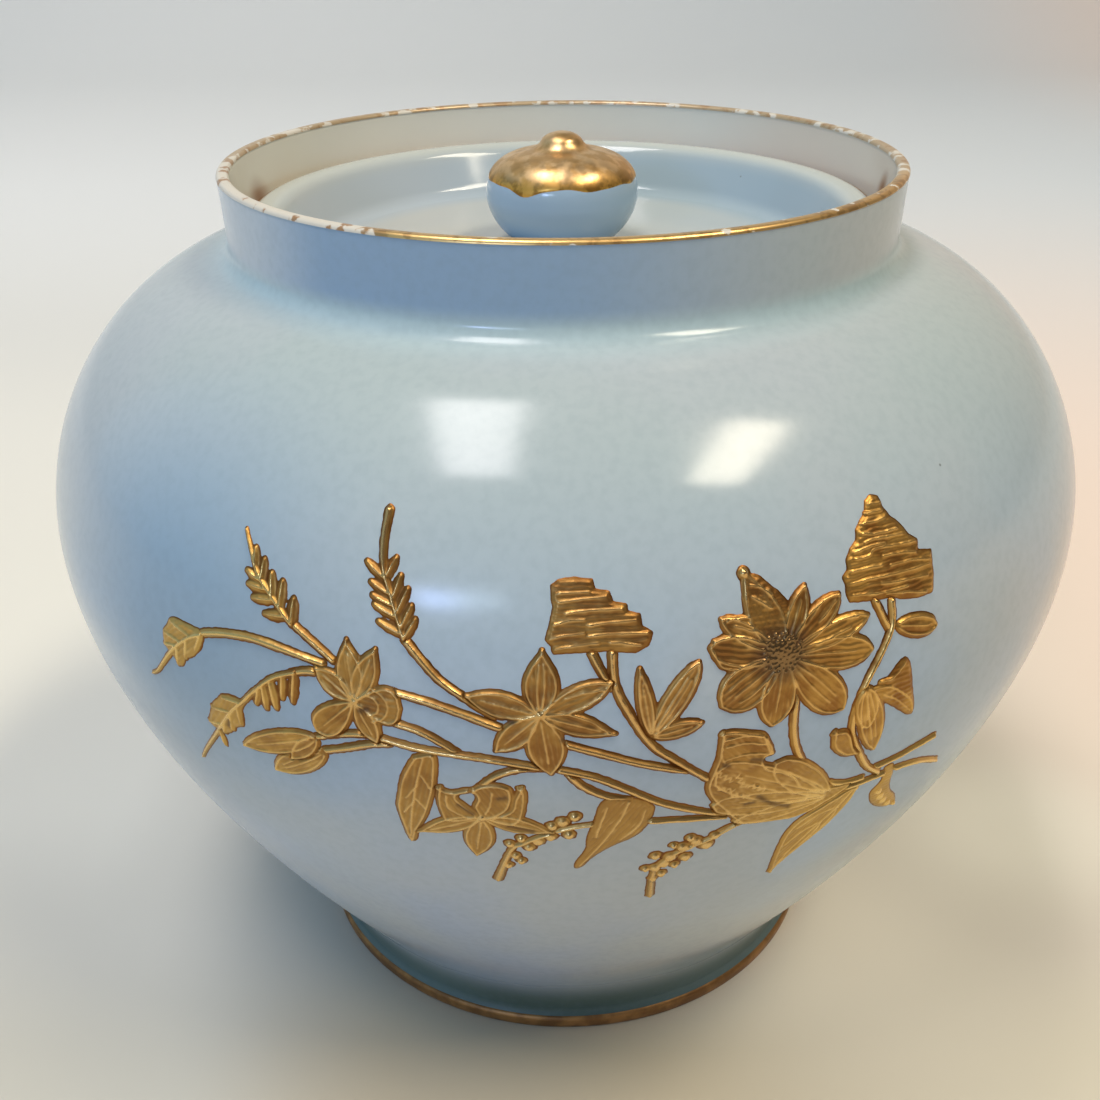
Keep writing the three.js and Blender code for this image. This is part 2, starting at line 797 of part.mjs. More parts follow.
function lidGroup() {
  const knob = new THREE.Group();
  knob.add(named("lid_knob", lidKnob(), glazeMaterial), named("knob_gilding", knobGilding(), giltMaterial));
  knob.position.z = dishFloorLevel;
  const lid = new THREE.Group();
  lid.add(named("lid_dish", lidDish(), glazeMaterial));
  lid.add(named("lid_gilding", lidGilding(), giltMaterial));
  lid.add(knob);
  lid.position.z = seatLevel;
  return lid;
}

const snuffJar = new THREE.Group();
snuffJar.add(jarGroup(), lidGroup(), ...sprayMeshes());
export default snuffJar;
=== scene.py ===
import math

import bpy
import numpy as np
from mathutils import Matrix, Vector


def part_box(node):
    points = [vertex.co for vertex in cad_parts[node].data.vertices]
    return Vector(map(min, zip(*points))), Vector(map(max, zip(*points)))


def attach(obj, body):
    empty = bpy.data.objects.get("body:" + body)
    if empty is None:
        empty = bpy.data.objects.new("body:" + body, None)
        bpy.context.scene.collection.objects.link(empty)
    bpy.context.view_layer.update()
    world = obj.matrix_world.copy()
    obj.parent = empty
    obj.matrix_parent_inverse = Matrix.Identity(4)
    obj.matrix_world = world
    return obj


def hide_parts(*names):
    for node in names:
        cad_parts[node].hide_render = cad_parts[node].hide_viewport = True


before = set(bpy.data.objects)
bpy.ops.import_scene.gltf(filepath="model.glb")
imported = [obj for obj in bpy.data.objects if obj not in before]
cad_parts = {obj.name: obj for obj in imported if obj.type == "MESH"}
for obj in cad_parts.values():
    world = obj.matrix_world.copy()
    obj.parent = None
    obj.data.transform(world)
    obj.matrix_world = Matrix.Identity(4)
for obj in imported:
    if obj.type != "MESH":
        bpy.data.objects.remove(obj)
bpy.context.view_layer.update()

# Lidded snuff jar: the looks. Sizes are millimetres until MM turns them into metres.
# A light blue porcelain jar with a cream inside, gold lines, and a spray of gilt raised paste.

MM = 0.001


def lowest(node, axis=2):
    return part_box(node)[0][axis] / MM


def highest(node, axis=2):
    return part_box(node)[1][axis] / MM


# Levels and radii that the frame gives
FOOT_HEIGHT = highest("foot_ring")
FOOT_RADIUS = highest("foot_gilding", 0)
FOOT_LINE_LOW = lowest("foot_gilding")
FOOT_LINE_TOP = highest("foot_gilding")
BELLY_RADIUS = highest("jar_body", 0)
NECK_LEVEL = lowest("neck_collar")
SEAT_LEVEL = highest("lid_seat")
LIP_LEVEL = highest("lip_gilding")
LIP_RADIUS = highest("lip_gilding", 0)
LID_RADIUS = highest("lid_gilding", 0)
DISH_FLOOR = lowest("lid_knob")
DISH_UNDERSIDE = lowest("lid_dish")
RIM_TOP = highest("lid_dish")
KNOB_TIP = highest("knob_gilding")
KNOB_RADIUS = highest("lid_knob", 0)

# Belly
LOWER_BELLY_HEIGHT = 70.1
UPPER_BELLY_HEIGHT = 34.8
BELLY_WALL = 3.2
BELLY_FLOOR = 4
BELLY_BORE = 42.9
MOUTH_ROUNDING = 1
FLOOR_COVE_RUN, FLOOR_COVE_RISE = 9, 4.5
FOOT_JOINT_RADIUS = 42.7
FOOT_JOINT_REACH = 6
LOWER_START_OUT_SHARE, LOWER_START_UP_SHARE, LOWER_END_DOWN_SHARE = 0.412, 0.27, 0.312
UPPER_START_UP_SHARE, UPPER_END_OUT_SHARE = 0.458, 0.6
SHOULDER_SLOPE = math.radians(12.9)
BELLY_LEVEL = FOOT_HEIGHT + LOWER_BELLY_HEIGHT
SHOULDER_LEVEL = BELLY_LEVEL + UPPER_BELLY_HEIGHT

# Foot
FOOT_WAIST_PULL = 3
FOOT_WAIST_SHARE = 0.6
FOOT_WALL = 2
FOOT_TREAD = 3.4
FOOT_WALL_TOP = 5.4
FOOT_EDGE_ROUNDING = 0.7
FOOT_LINE_PROUD = 0.1
FOOT_LINE_SPREAD = 0.7

# Collar
COLLAR_RADIUS = 46.9
COLLAR_BORE = 44.2
COLLAR_FILLET = 2.6
LIP_THICKNESS = 1.5
LIP_ROUNDING = 0.55
LIP_GOLD_THICKNESS = 0.12
LIP_GOLD_DROP = 0.5
SEAT_BORE = 40.5
SEAT_ROUNDING = 0.5
SEAT_JOINT = 0.05
FILLET_CENTRE_RADIUS = COLLAR_RADIUS + COLLAR_FILLET
FILLET_CENTRE_LEVEL = SHOULDER_LEVEL + COLLAR_FILLET * math.cos(SHOULDER_SLOPE)
SHOULDER_RADIUS = FILLET_CENTRE_RADIUS - COLLAR_FILLET * math.sin(SHOULDER_SLOPE)
LIP_TOP = LIP_LEVEL - LIP_GOLD_THICKNESS
LIP_INNER = LIP_RADIUS - LIP_THICKNESS

# Lid
LID_EDGE_ROUNDING = 1.9
LID_CROWN_ROUNDING = 1.7
DISH_COVE = 2
DISH_LIP_RADIUS = 40
DISH_FLOOR_RADIUS = 35.8
DISH_FLOOR_DIP = 0.3
DISH_WALL_RADIUS = 39.7
DISH_UNDERSIDE_RUN = 4
DISH_UNDERSIDE_ROUNDING = 3
LID_CORNER_ROUNDING = 0.4
LID_LINE_PROUD = 0.1
LID_SHOULDER = slice(4, 10)  # the points of the lid's top line that round its outer edge

# Knob, whose own levels start at the floor of the dish
KNOB_STEM_RADIUS = 4.2
KNOB_UNDER_HEIGHT = 7
KNOB_TOP_HEIGHT = 6.5
KNOB_TOP_ROUNDNESS = 2.75
KNOB_UNDER_ROUNDNESS = 1.7
NIPPLE_RADIUS = 3.35
NIPPLE_REACH = 1.5
KNOB_GLAZE_INSET = 0.08
KNOB_GOLD_THIN, KNOB_GOLD_ROOT = 2 * KNOB_GLAZE_INSET, 2.5 * KNOB_GLAZE_INSET
KNOB_GOLD_LEVEL = 2.55
KNOB_GOLD_EDGE = 0.5
# The gold's edge has dips (depth, place, breadth) and ripples (height, number round the knob, start)
KNOB_GOLD_DIPS = ((0.8, -0.5, 0.24), (0.4, 0.5, 0.25))
KNOB_GOLD_RIPPLES = ((0.14, 3, 0.6), (0.1, 8, 2.1), (0.07, 15, 0))

# Raised paste
SPRAY_SPAN = 106
CELL = 0.11
SINK = 0.2
ROOT_DEPTH = 0.45
HIGHEST_PASTE = 0.8

AROUND_STEPS = 224
CURVE_STEPS = 48


# Sections
def bezier(corners, steps):
    """Points on a cubic curve, evenly spaced along it."""
    t = np.linspace(0, 1, 16 * steps + 1)[:, None]
    a, b, c, d = (np.array(corner, float) for corner in corners)
    fine = (1 - t) ** 3 * a + 3 * (1 - t) ** 2 * t * b + 3 * (1 - t) * t**2 * c + t**3 * d
    return evenly(fine, steps)


def quadratic(start, pull, end, steps):
    t = np.linspace(0, 1, steps + 1)[:, None]
    a, b, c = (np.array(corner, float) for corner in (start, pull, end))
    return (1 - t) ** 2 * a + 2 * (1 - t) * t * b + t**2 * c


def lengths_along(points):
    return np.concatenate([[0], np.cumsum(np.hypot(*np.diff(points, axis=0).T))])


def on_line(points, along):
    """The places at some lengths along a line."""
    lengths = lengths_along(points)
    return np.stack([np.interp(along, lengths, points[:, axis]) for axis in (0, 1)], axis=-1)


def evenly(points, steps):
    return on_line(points, np.linspace(0, lengths_along(points)[-1], steps + 1))


def tangents(points):
    order = 2 if len(points) > 2 else 1
    slopes = np.gradient(points, lengths_along(points), axis=0, edge_order=order)
    return slopes / np.hypot(*slopes.T)[:, None]


def shifted(points, inwards):
    """A line of a section moved to its left, which is into the solid."""
    ahead = tangents(points)
    return points + inwards * np.column_stack([-ahead[:, 1], ahead[:, 0]])


def rounded(corners, roundings, steps=8):
    """A line through some corners. Each corner but the first and last has its rounding."""
    corners = [np.array(corner, float) for corner in corners]
    line = [corners[0]]
    for before, corner, after, rounding in zip(corners, corners[1:], corners[2:], roundings):
        back = (before - corner) / np.hypot(*(before - corner))
        on = (after - corner) / np.hypot(*(after - corner))
        line.extend(quadratic(corner + rounding * back, corner, corner + rounding * on, steps))
    line.append(corners[-1])
    return np.array(line)


def blended(first, second, reach):
    """Two lines that meet in a corner, rounded off there. Both end in the rounding's middle."""
    first_lengths, second_lengths = lengths_along(first), lengths_along(second)
    start = on_line(first, first_lengths[-1] - reach)
    end = on_line(second, reach)
    curve = quadratic(start, first[-1], end, CURVE_STEPS)
    middle = CURVE_STEPS // 2
    kept_first = first[first_lengths < first_lengths[-1] - 1.1 * reach]
    kept_second = second[second_lengths > 1.1 * reach]
    return np.vstack([kept_first, curve[: middle + 1]]), np.vstack([curve[middle:], kept_second])


UPPER_END_PULL = UPPER_END_OUT_SHARE * (BELLY_RADIUS - SHOULDER_RADIUS)
SIDE_LOWER = bezier(
    [
        (FOOT_JOINT_RADIUS, FOOT_HEIGHT),
        (
            FOOT_JOINT_RADIUS + LOWER_START_OUT_SHARE * (BELLY_RADIUS - FOOT_JOINT_RADIUS),
            FOOT_HEIGHT + LOWER_START_UP_SHARE * LOWER_BELLY_HEIGHT,
        ),
        (BELLY_RADIUS, BELLY_LEVEL - LOWER_END_DOWN_SHARE * LOWER_BELLY_HEIGHT),
        (BELLY_RADIUS, BELLY_LEVEL),
    ],
    2 * CURVE_STEPS,
)
SIDE_UPPER = bezier(
    [
        (BELLY_RADIUS, BELLY_LEVEL),
        (BELLY_RADIUS, BELLY_LEVEL + UPPER_START_UP_SHARE * UPPER_BELLY_HEIGHT),
        (SHOULDER_RADIUS + UPPER_END_PULL, SHOULDER_LEVEL - UPPER_END_PULL * math.tan(SHOULDER_SLOPE)),
        (SHOULDER_RADIUS, SHOULDER_LEVEL),
    ],
    2 * CURVE_STEPS,
)
SIDE = np.vstack([SIDE_LOWER, SIDE_UPPER[1:]])
SIDE_AHEAD = tangents(SIDE)


# Meshes of revolution
ON_AXIS = 1e-6


class Run:
    """A smooth stretch of a section, with the number of its paint. The solid lies on its left.
    The first and last directions are given where the surface runs on into another piece."""

    def __init__(self, points, paint=0, first=None, last=None):
        self.points = np.array(points, float)
        self.paint = paint
        self.ahead = tangents(self.points)
        if first is not None:
            self.ahead[0] = first
        if last is not None:
            self.ahead[-1] = last


class Turning:
    """The rings and faces of a mesh of revolution about the jar's axis."""

    def __init__(self, steps):
        self.turns = np.arange(steps) * 2 * math.pi / steps
        self.places = []
        self.faces = []
        self.outwards = []
        self.paints = []

    def ring(self, radius, level):
        """Adds a ring, or one point where it lies on the axis, and gives the point of each turn."""
        start = len(self.places)
        turns = self.turns if radius > ON_AXIS else self.turns[:1]
        self.places += [(radius * math.sin(turn), -radius * math.cos(turn), level) for turn in turns]
        return np.resize(np.arange(start, len(self.places)), len(self.turns))

    def join(self, low, high, low_ahead, high_ahead, paint):
        for j, k in enumerate(np.roll(np.arange(len(self.turns)), -1)):
            corners = [(low[j], low_ahead, j), (low[k], low_ahead, k), (high[k], high_ahead, k)]
            if high[j] != high[k]:
                corners.append((high[j], high_ahead, j))
            if low[j] == low[k]:
                corners.pop(1)
            self.faces.append([int(point) for point, ahead, turn in corners])
            self.outwards += [self.outward(ahead, self.turns[turn]) for point, ahead, turn in corners]
            self.paints.append(paint)

    @staticmethod
    def outward(ahead, turn):
        return (ahead[1] * math.sin(turn), -ahead[1] * math.cos(turn), -ahead[0])


def turned(name, runs, paints, steps=AROUND_STEPS):
    """A closed mesh of revolution, smooth within each run of its section."""
    turning = Turning(steps)
    first = turning.ring(*runs[0].points[0])
    closes = np.allclose(runs[-1].points[-1], runs[0].points[0])
    before = first
    for run in runs:
        for i in range(1, len(run.points)):
            ends = run is runs[-1] and i == len(run.points) - 1
            here = first if ends and closes else turning.ring(*run.points[i])
            turning.join(before, here, run.ahead[i - 1], run.ahead[i], run.paint)
            before = here
    mesh = new_mesh(name, turning.places, turning.faces, paints)
    mesh.polygons.foreach_set("material_index", turning.paints)
    mesh.normals_split_custom_set(turning.outwards)
    return placed(name, mesh)


def new_mesh(name, places, faces, paints):
    mesh = bpy.data.meshes.new(name)
    mesh.from_pydata((np.array(places) * MM).tolist(), [], faces)
    for paint in paints:
        mesh.materials.append(paint)
    mesh.shade_smooth()
    mesh.update()
    return mesh


def placed(name, data):
    made = bpy.data.objects.new(name, data)
    bpy.context.scene.collection.objects.link(made)
    return made


def settle(piece, body, slot, *nodes):
    """Puts a piece on its body, in the place of the nodes that it stands for."""
    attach(piece, body)
    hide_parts(*nodes)


# Paints. A mix node has sockets for other kinds of value too, so its colours go by number.
MIX_FIRST_COLOUR, MIX_SECOND_COLOUR, MIX_COLOUR = 6, 7, 2
GLAZE_IOR = 1.42


class Paint:
    """A material made of nodes, whose colour is built up coat by coat. Lengths are in millimetres."""

    def __init__(self, name, colour):
        self.material = bpy.data.materials.new(name)
        self.material.use_nodes = True
        self.nodes = self.material.node_tree.nodes
        self.links = self.material.node_tree.links
        self.object_place = self.add("ShaderNodeTexCoord").outputs["Object"]
        parts = self.add("ShaderNodeSeparateXYZ", {"Vector": self.object_place}).outputs
        self.x, self.y, self.z = (self.sum("DIVIDE", part, MM) for part in parts)
        self.colour = colour

    def add(self, kind, inputs=None, **settings):
        made = self.nodes.new(kind)
        for key, value in settings.items():
            setattr(made, key, value)
        for key, value in (inputs or {}).items():
            self.feed(made.inputs[key], value)
        return made

    def feed(self, socket, value):
        if isinstance(value, bpy.types.NodeSocket):
            self.links.new(value, socket)
        else:
            socket.default_value = value

    def sum(self, operation, first, second=0.0):
        return self.add("ShaderNodeMath", {0: first, 1: second}, operation=operation).outputs[0]

    def both(self, first, second):
        return self.sum("MULTIPLY", first, second)

    def between(self, value, low, high, to_low=0.0, to_high=1.0):
        """Turns a value from low to high smoothly into one from to_low to to_high."""
        inputs = {"Value": value, "From Min": low, "From Max": high, "To Min": to_low, "To Max": to_high}
        return self.add("ShaderNodeMapRange", inputs, interpolation_type="SMOOTHSTEP").outputs["Result"]

    def mix(self, share, first, second):
        made = self.add("ShaderNodeMix", {"Factor": share}, data_type="RGBA")
        self.feed(made.inputs[MIX_FIRST_COLOUR], first)
        self.feed(made.inputs[MIX_SECOND_COLOUR], second)
        return made.outputs[MIX_COLOUR]

    def coat(self, share, colour):
        """Lays a colour over what is there so far."""
        self.colour = self.mix(share, self.colour, colour)

    def noise(self, size, detail=3.0):
        """Cloudy noise whose clouds are about as wide as the size."""
        inputs = {"Vector": self.object_place, "Scale": 1 / (size * MM), "Detail": detail}
        return self.add("ShaderNodeTexNoise", inputs).outputs["Fac"]

    def clouds(self, size, detail=4.0, edges=(0.35, 0.65), levels=(0.0, 1.0)):
        """The same noise, made plainer between two edges and spread over two levels."""
        return self.between(self.noise(size, detail), *edges, *levels)

    def azimuth(self):
        """The angle round the jar in degrees, zero in front and positive to the right."""
        return self.sum("DEGREES", self.sum("ARCTAN2", self.x, self.both(self.y, -1.0)))

    def radius(self):
        squares = self.sum("ADD", self.both(self.x, self.x), self.both(self.y, self.y))
        return self.sum("SQRT", squares)

    def spots(self, *balls):
        """One inside some balls, zero outside. Each has its place, radius and softness."""
        share = 0.0
        for place, radius, softness in balls:
            inputs = {0: self.object_place, 1: [part * MM for part in place]}
            away = self.add("ShaderNodeVectorMath", inputs, operation="DISTANCE").outputs["Value"]
            ball = self.between(away, (radius + softness) * MM, (radius - softness) * MM)
            share = self.sum("MAXIMUM", share, ball)
        return share

    def speck(self, spacing, radius, presence, share, colour):
        """Lays small dots, about one for each spacing, of which only some are present."""
        inputs = {"Vector": self.object_place, "Scale": 1 / (spacing * MM)}
        cells = self.add("ShaderNodeTexVoronoi", inputs)
        near = self.between(cells.outputs["Distance"], radius / spacing, 0.4 * radius / spacing)
        chosen = self.add("ShaderNodeSeparateColor", {"Color": cells.outputs["Color"]}).outputs[0]
        dots = self.both(near, self.sum("LESS_THAN", chosen, presence))
        self.coat(self.both(dots, share), colour)

    def within(self, *ramps):
        """One where each ramp, a value with two edges, is past its second edge."""
        share = 1.0
        for ramp in ramps:
            share = self.both(share, self.between(*ramp))
        return share

    def finished(self, **inputs):
        """The material, with the shader's own sockets set."""
        inputs["base_color"] = self.colour
        for key, value in inputs.items():
            socket = key.replace("_", " ").title().replace("Ior", "IOR")
            self.feed(self.nodes["Principled BSDF"].inputs[socket], value)
        return self.material

    def uneven(self, height, depth, strength, **inputs):
        """The material, finished with a bumpy surface."""
        bump = {"Height": height, "Strength": strength, "Distance": depth * MM}
        return self.finished(normal=self.add("ShaderNodeBump", bump).outputs["Normal"], **inputs)


def rgb(red, green, blue):
    """A colour written as it looks on a screen, from 0 to 255, turned into light."""
    return tuple(
        part / 12.92 if part <= 0.04045 else ((part + 0.055) / 1.055) ** 2.4
        for part in (red / 255, green / 255, blue / 255)
    ) + (1.0,)


def blue_glaze():
    """A light blue glaze, paler on the shoulder. Painted shade deepens it on the left, the collar's
    front and the foot, and painted light makes the low belly lighter to the right.
    """
    low_right, collar_left, collar_right = (4, 38), (-39, -26), (-3, 30)
    foot_left, foot_right = (-22, -6), (4, 25)
    fillet_half, collar_low, collar_high, foot_high, foot_low = 1, 1.4, 4, 7, 3
    pool, mottle, speck_spacing, speck_radius = 38, 1.2, 8, 0.24
    sheen, ripple, grain, depth = 14, 7, 1.1, 0.05
    left_shade_patch = ((-42, -57, 86), 18, 14)
    shoulder_mark = ((-15, -61.5, 107), 0.3, 0.15)
    foot_mark, belly_mark = ((0.5, -46.5, 12.5), 0.35, 0.2), ((10, -63.5, 66.5), 0.35, 0.2)
    paint = Paint("blue_glaze", rgb(170, 189, 206))
    paint.coat(paint.between(paint.z, BELLY_LEVEL, SHOULDER_LEVEL), rgb(176, 189, 187))
    # Painted light: the low belly is coated lighter towards the right, where light falls.
    low_belly = paint.mix(paint.between(paint.x, *low_right), rgb(166, 182, 207), rgb(180, 204, 226))
    paint.coat(paint.between(paint.z, BELLY_LEVEL, 0.4 * BELLY_LEVEL), low_belly)
    paint.coat(paint.clouds(pool, detail=2.0, levels=(0.0, 0.8)), rgb(182, 190, 192))
    # Painted shade: a deeper blue patch on the left of the belly.
    paint.coat(paint.both(paint.spots(left_shade_patch), 0.85), rgb(136, 164, 185))
    fillet = paint.between(paint.z, SHOULDER_LEVEL - fillet_half, SHOULDER_LEVEL + fillet_half)
    paint.coat(fillet, rgb(182, 203, 206))
    # Painted shade and a painted reflection of the shoulder: the collar's front is coated deeper blue.
    collar = paint.mix(paint.between(paint.x, *collar_left), rgb(188, 200, 208), rgb(148, 175, 200))
    collar = paint.mix(paint.between(paint.x, *collar_right), collar, rgb(176, 188, 192))
    paint.coat(paint.between(paint.z, SHOULDER_LEVEL + collar_low, SHOULDER_LEVEL + collar_high), collar)
    # Painted shade: the foot under the belly's overhang is coated dark, a little lighter to the right.
    foot = paint.between(paint.z, FOOT_HEIGHT + foot_high, FOOT_LINE_TOP + foot_low)
    painted_foot_shade = paint.mix(paint.between(paint.x, *foot_left), rgb(94, 116, 113), rgb(78, 99, 94))
    paint.coat(foot, paint.mix(paint.between(paint.x, *foot_right), painted_foot_shade, rgb(98, 118, 116)))
    paint.coat(paint.clouds(mottle, edges=(0.35, 0.75), levels=(0.0, 0.12)), rgb(120, 138, 146))
    paint.speck(speck_spacing, speck_radius, presence=0.3, share=0.6, colour=rgb(84, 82, 76))
    paint.coat(paint.spots(shoulder_mark, foot_mark, belly_mark), rgb(84, 70, 50))
    roughness = paint.clouds(sheen, detail=3.0, edges=(0.3, 0.7), levels=(0.14, 0.19))
    roughness = paint.sum("ADD", roughness, paint.both(foot, 0.25))
    upwards = paint.between(paint.z, 0.3 * BELLY_LEVEL, BELLY_LEVEL, to_high=0.12)
    fine = paint.both(paint.noise(grain), upwards)
    height = paint.sum("ADD", paint.noise(ripple, detail=2.0), fine)
    return paint.uneven(height, depth, strength=0.35, roughness=roughness, ior=GLAZE_IOR)


def lid_glaze():
    """The same glaze on the lid: nearly white on its rim, bluer round the floor of the dish."""
    slope_out, slope_in, floor_out, floor_in = 0.6, 1.6, 0.5, 7
    right, left, knob_margin, knob_start = (-15, 25), (7, -7), 1, 0.6
    speck_spacing, speck_radius, ripple, depth = 9, 0.22, 7, 0.05
    paint = Paint("lid_glaze", rgb(189, 195, 188))
    radius = paint.radius()
    # Painted shade: the dish's slope and floor are coated darker and bluer towards the right and back.
    rightwards = paint.between(paint.sum("ADD", paint.x, paint.both(paint.y, 0.5)), *right)
    slope = paint.mix(rightwards, rgb(174, 185, 191), rgb(158, 176, 184))
    paint.coat(paint.between(radius, DISH_LIP_RADIUS + slope_out, DISH_LIP_RADIUS - slope_in), slope)
    floor = paint.mix(rightwards, rgb(188, 190, 184), rgb(180, 188, 186))
    paint.coat(paint.between(radius, DISH_FLOOR_RADIUS - floor_out, DISH_FLOOR_RADIUS - floor_in), floor)
    under_high, under_low = (DISH_FLOOR + share * KNOB_UNDER_HEIGHT for share in (0.8, 0.2))
    under = paint.between(paint.z, under_high, under_low)
    blue = paint.both(under, paint.between(paint.x, *left, to_low=0.4))
    knob = paint.between(radius, KNOB_RADIUS + knob_margin, KNOB_RADIUS)
    knob = paint.both(knob, paint.between(paint.z, DISH_FLOOR, DISH_FLOOR + knob_start))
    paint.coat(knob, paint.mix(blue, rgb(162, 186, 204), rgb(104, 154, 202)))
    paint.speck(speck_spacing, speck_radius, presence=0.25, share=0.5, colour=rgb(110, 100, 84))
    height = paint.noise(ripple, detail=2.0)
    return paint.uneven(height, depth, strength=0.35, roughness=0.12, ior=GLAZE_IOR)


def cream_glaze():
    """A cream glaze inside, warmer on the right of the collar, with a brown stain on the right and, on
    the left, a brown spot that is a stain and a painted shadow in the gap under the lid.
    """
    cloud, ripple, speck_spacing, speck_radius, depth = 20, 5, 6, 0.22, 0.05
    right, wall_start = (22, 40), 1
    stain_and_gap_shadow_spots = [((44, -1, SEAT_LEVEL + 4.5), 1.8, 1.4), ((-42.8, 5, SEAT_LEVEL + 1), 3, 2.6)]
    paint = Paint("cream_glaze", rgb(236, 234, 220))
    paint.coat(paint.noise(cloud), rgb(226, 225, 214))
    wall = paint.between(paint.z, SEAT_LEVEL - wall_start, SEAT_LEVEL)
    paint.coat(paint.both(paint.between(paint.x, *right), wall), rgb(226, 214, 196))
    # Brown spots: a stain on the right; on the left a stain with painted shadow in the gap under the
    # lid.
    paint.coat(paint.spots(*stain_and_gap_shadow_spots), rgb(150, 96, 48))
    paint.speck(speck_spacing, speck_radius, presence=0.35, share=0.6, colour=rgb(110, 96, 74))
    height = paint.noise(ripple, detail=2.0)
    return paint.uneven(height, depth, strength=0.3, roughness=0.16, ior=GLAZE_IOR)


def bare_porcelain():
    cloud, grain, depth = 3, 0.5, 0.05
    paint = Paint("bare_porcelain", rgb(206, 198, 178))
    paint.coat(paint.noise(cloud, detail=5.0), rgb(170, 158, 136))
    return paint.uneven(paint.noise(grain, detail=4.0), depth, strength=0.5, roughness=0.8)


def lip_gilding():
    """Thin gold on the lip, with a painted highlight that makes it bright in front and duller behind,
    and worn off in patches on the left.
    """
    patch, wear_size, grain, depth = 1.6, 2.4, 0.8, 0.05
    paint = Paint("lip_gilding", rgb(192, 168, 132))
    azimuth = paint.azimuth()
    front = paint.within((azimuth, -32, -22), (azimuth, 78, 60))
    left = paint.within((azimuth, -92, -80), (azimuth, -24, -31))
    # Painted highlight: the front stretch is coated brighter and made more metallic; it also wears off
    # less.
    paint.coat(front, rgb(236, 194, 126))
    dull = paint.clouds(patch, detail=5.0, edges=(0.5, 0.62), levels=(0.0, 0.5))
    paint.coat(dull, rgb(164, 118, 72))
    paint.coat(left, rgb(178, 138, 98))
    wear = paint.sum("ADD", paint.noise(wear_size, detail=5.0), paint.both(left, 0.15))
    wear = paint.sum("ADD", wear, paint.both(paint.sum("SUBTRACT", 1.0, front), 0.07))
    gone = paint.between(wear, 0.6, 0.66)
    paint.coat(gone, rgb(214, 208, 192))
    bright = paint.between(front, 0.2, 0.8, to_low=0.35, to_high=0.9)
    metal = paint.both(paint.between(gone, 0.8, 0.2), bright)
    height = paint.noise(grain, detail=4.0)
    return paint.uneven(height, depth, strength=0.25, metallic=metal, roughness=0.34)


def line_gilding():
    """Dull gold of the lines on the foot and the lid, with brown patches."""
    patch, grain, depth = 3, 0.8, 0.05
    paint = Paint("line_gilding", rgb(172, 126, 74))
    paint.coat(paint.clouds(patch), rgb(132, 94, 54))
    height = paint.noise(grain, detail=4.0)
    return paint.uneven(height, depth, strength=0.25, metallic=0.55, roughness=0.45)


def knob_gilding():
    """Gold dabbed over the knob: tan and matt on top, brighter and orange towards its edge."""
    dab, rim_dab, polish, grain, depth, rim_high, rim_low = 2.2, 2.0, 1.5, 1.8, 0.1, 4.6, 2.6
    widest = DISH_FLOOR + KNOB_UNDER_HEIGHT
    paint = Paint("knob_gilding", rgb(232, 194, 140))
    paint.coat(paint.clouds(dab, edges=(0.4, 0.6)), rgb(206, 164, 104))
    rim = paint.mix(paint.clouds(rim_dab, edges=(0.42, 0.58)), rgb(226, 172, 82), rgb(160, 116, 48))
    paint.coat(paint.between(paint.z, widest + rim_high, widest + rim_low), rim)
    roughness = paint.clouds(polish, levels=(0.28, 0.42))
    return paint.uneven(paint.noise(grain), depth, strength=0.4, metallic=0.8, roughness=roughness)


def paste_gilding():
    """Gold on the paste: brighter on its threads, a painted highlight, browner between them, paler at
    the spray's left end, and paler low down as a painted reflection of warm surroundings.
    """
    cloud, patch, grain, depth = 6, 3, 0.45, 0.06
    left_end, pale_depth, middle_left, middle_right = (-26, -44), 14, (-36, -16), (34, 14)
    paint = Paint("paste_gilding", rgb(192, 148, 76))
    relief = paint.add("ShaderNodeAttribute", attribute_name="relief").outputs["Fac"]
    tarnish = paint.add("ShaderNodeAttribute", attribute_name="tarnish").outputs["Fac"]
    # Painted reflection: the spray's low part, facing down, is coated paler and yellower; its left end
    # is paler too.
    low = paint.between(paint.z, BELLY_LEVEL, BELLY_LEVEL - pale_depth)
    pale = paint.sum("MAXIMUM", paint.between(paint.x, *left_end), low)
    middle = paint.within((paint.x, *middle_left), (paint.x, *middle_right))
    painted_highlight_ridges = paint.mix(paint.noise(cloud), rgb(232, 192, 120), rgb(222, 176, 98))
    painted_highlight_ridges = paint.mix(paint.both(pale, 0.6), painted_highlight_ridges, rgb(236, 208, 138))
    painted_highlight_ridges = paint.mix(paint.both(middle, 0.4), painted_highlight_ridges, rgb(196, 160, 116))
    paint.coat(paint.clouds(patch), rgb(150, 104, 50))
    paint.coat(paint.both(pale, 0.7), rgb(206, 172, 100))
    paint.coat(paint.both(middle, 0.45), rgb(136, 98, 58))
    # Painted highlight: the threads are coated a brighter gold than what lies between them.
    paint.coat(paint.between(relief, 0.24, 0.48), painted_highlight_ridges)
    paint.coat(paint.between(relief, 0.13, 0.02), rgb(124, 78, 34))
    # Dark grooves, and a painted shade over the daisy's boss.
    paint.coat(tarnish, rgb(92, 72, 58))
    roughness = paint.between(relief, 0.28, 0.5, to_low=0.42, to_high=0.24)
    height = paint.noise(grain, detail=4.0)
    return paint.uneven(height, depth, strength=0.35, metallic=0.93, roughness=roughness)


BLUE_GLAZE = blue_glaze()
LID_GLAZE = lid_glaze()
CREAM_GLAZE = cream_glaze()
BARE_PORCELAIN = bare_porcelain()
LIP_GILDING = lip_gilding()
LINE_GILDING = line_gilding()
KNOB_GILDING = knob_gilding()
PASTE_GILDING = paste_gilding()


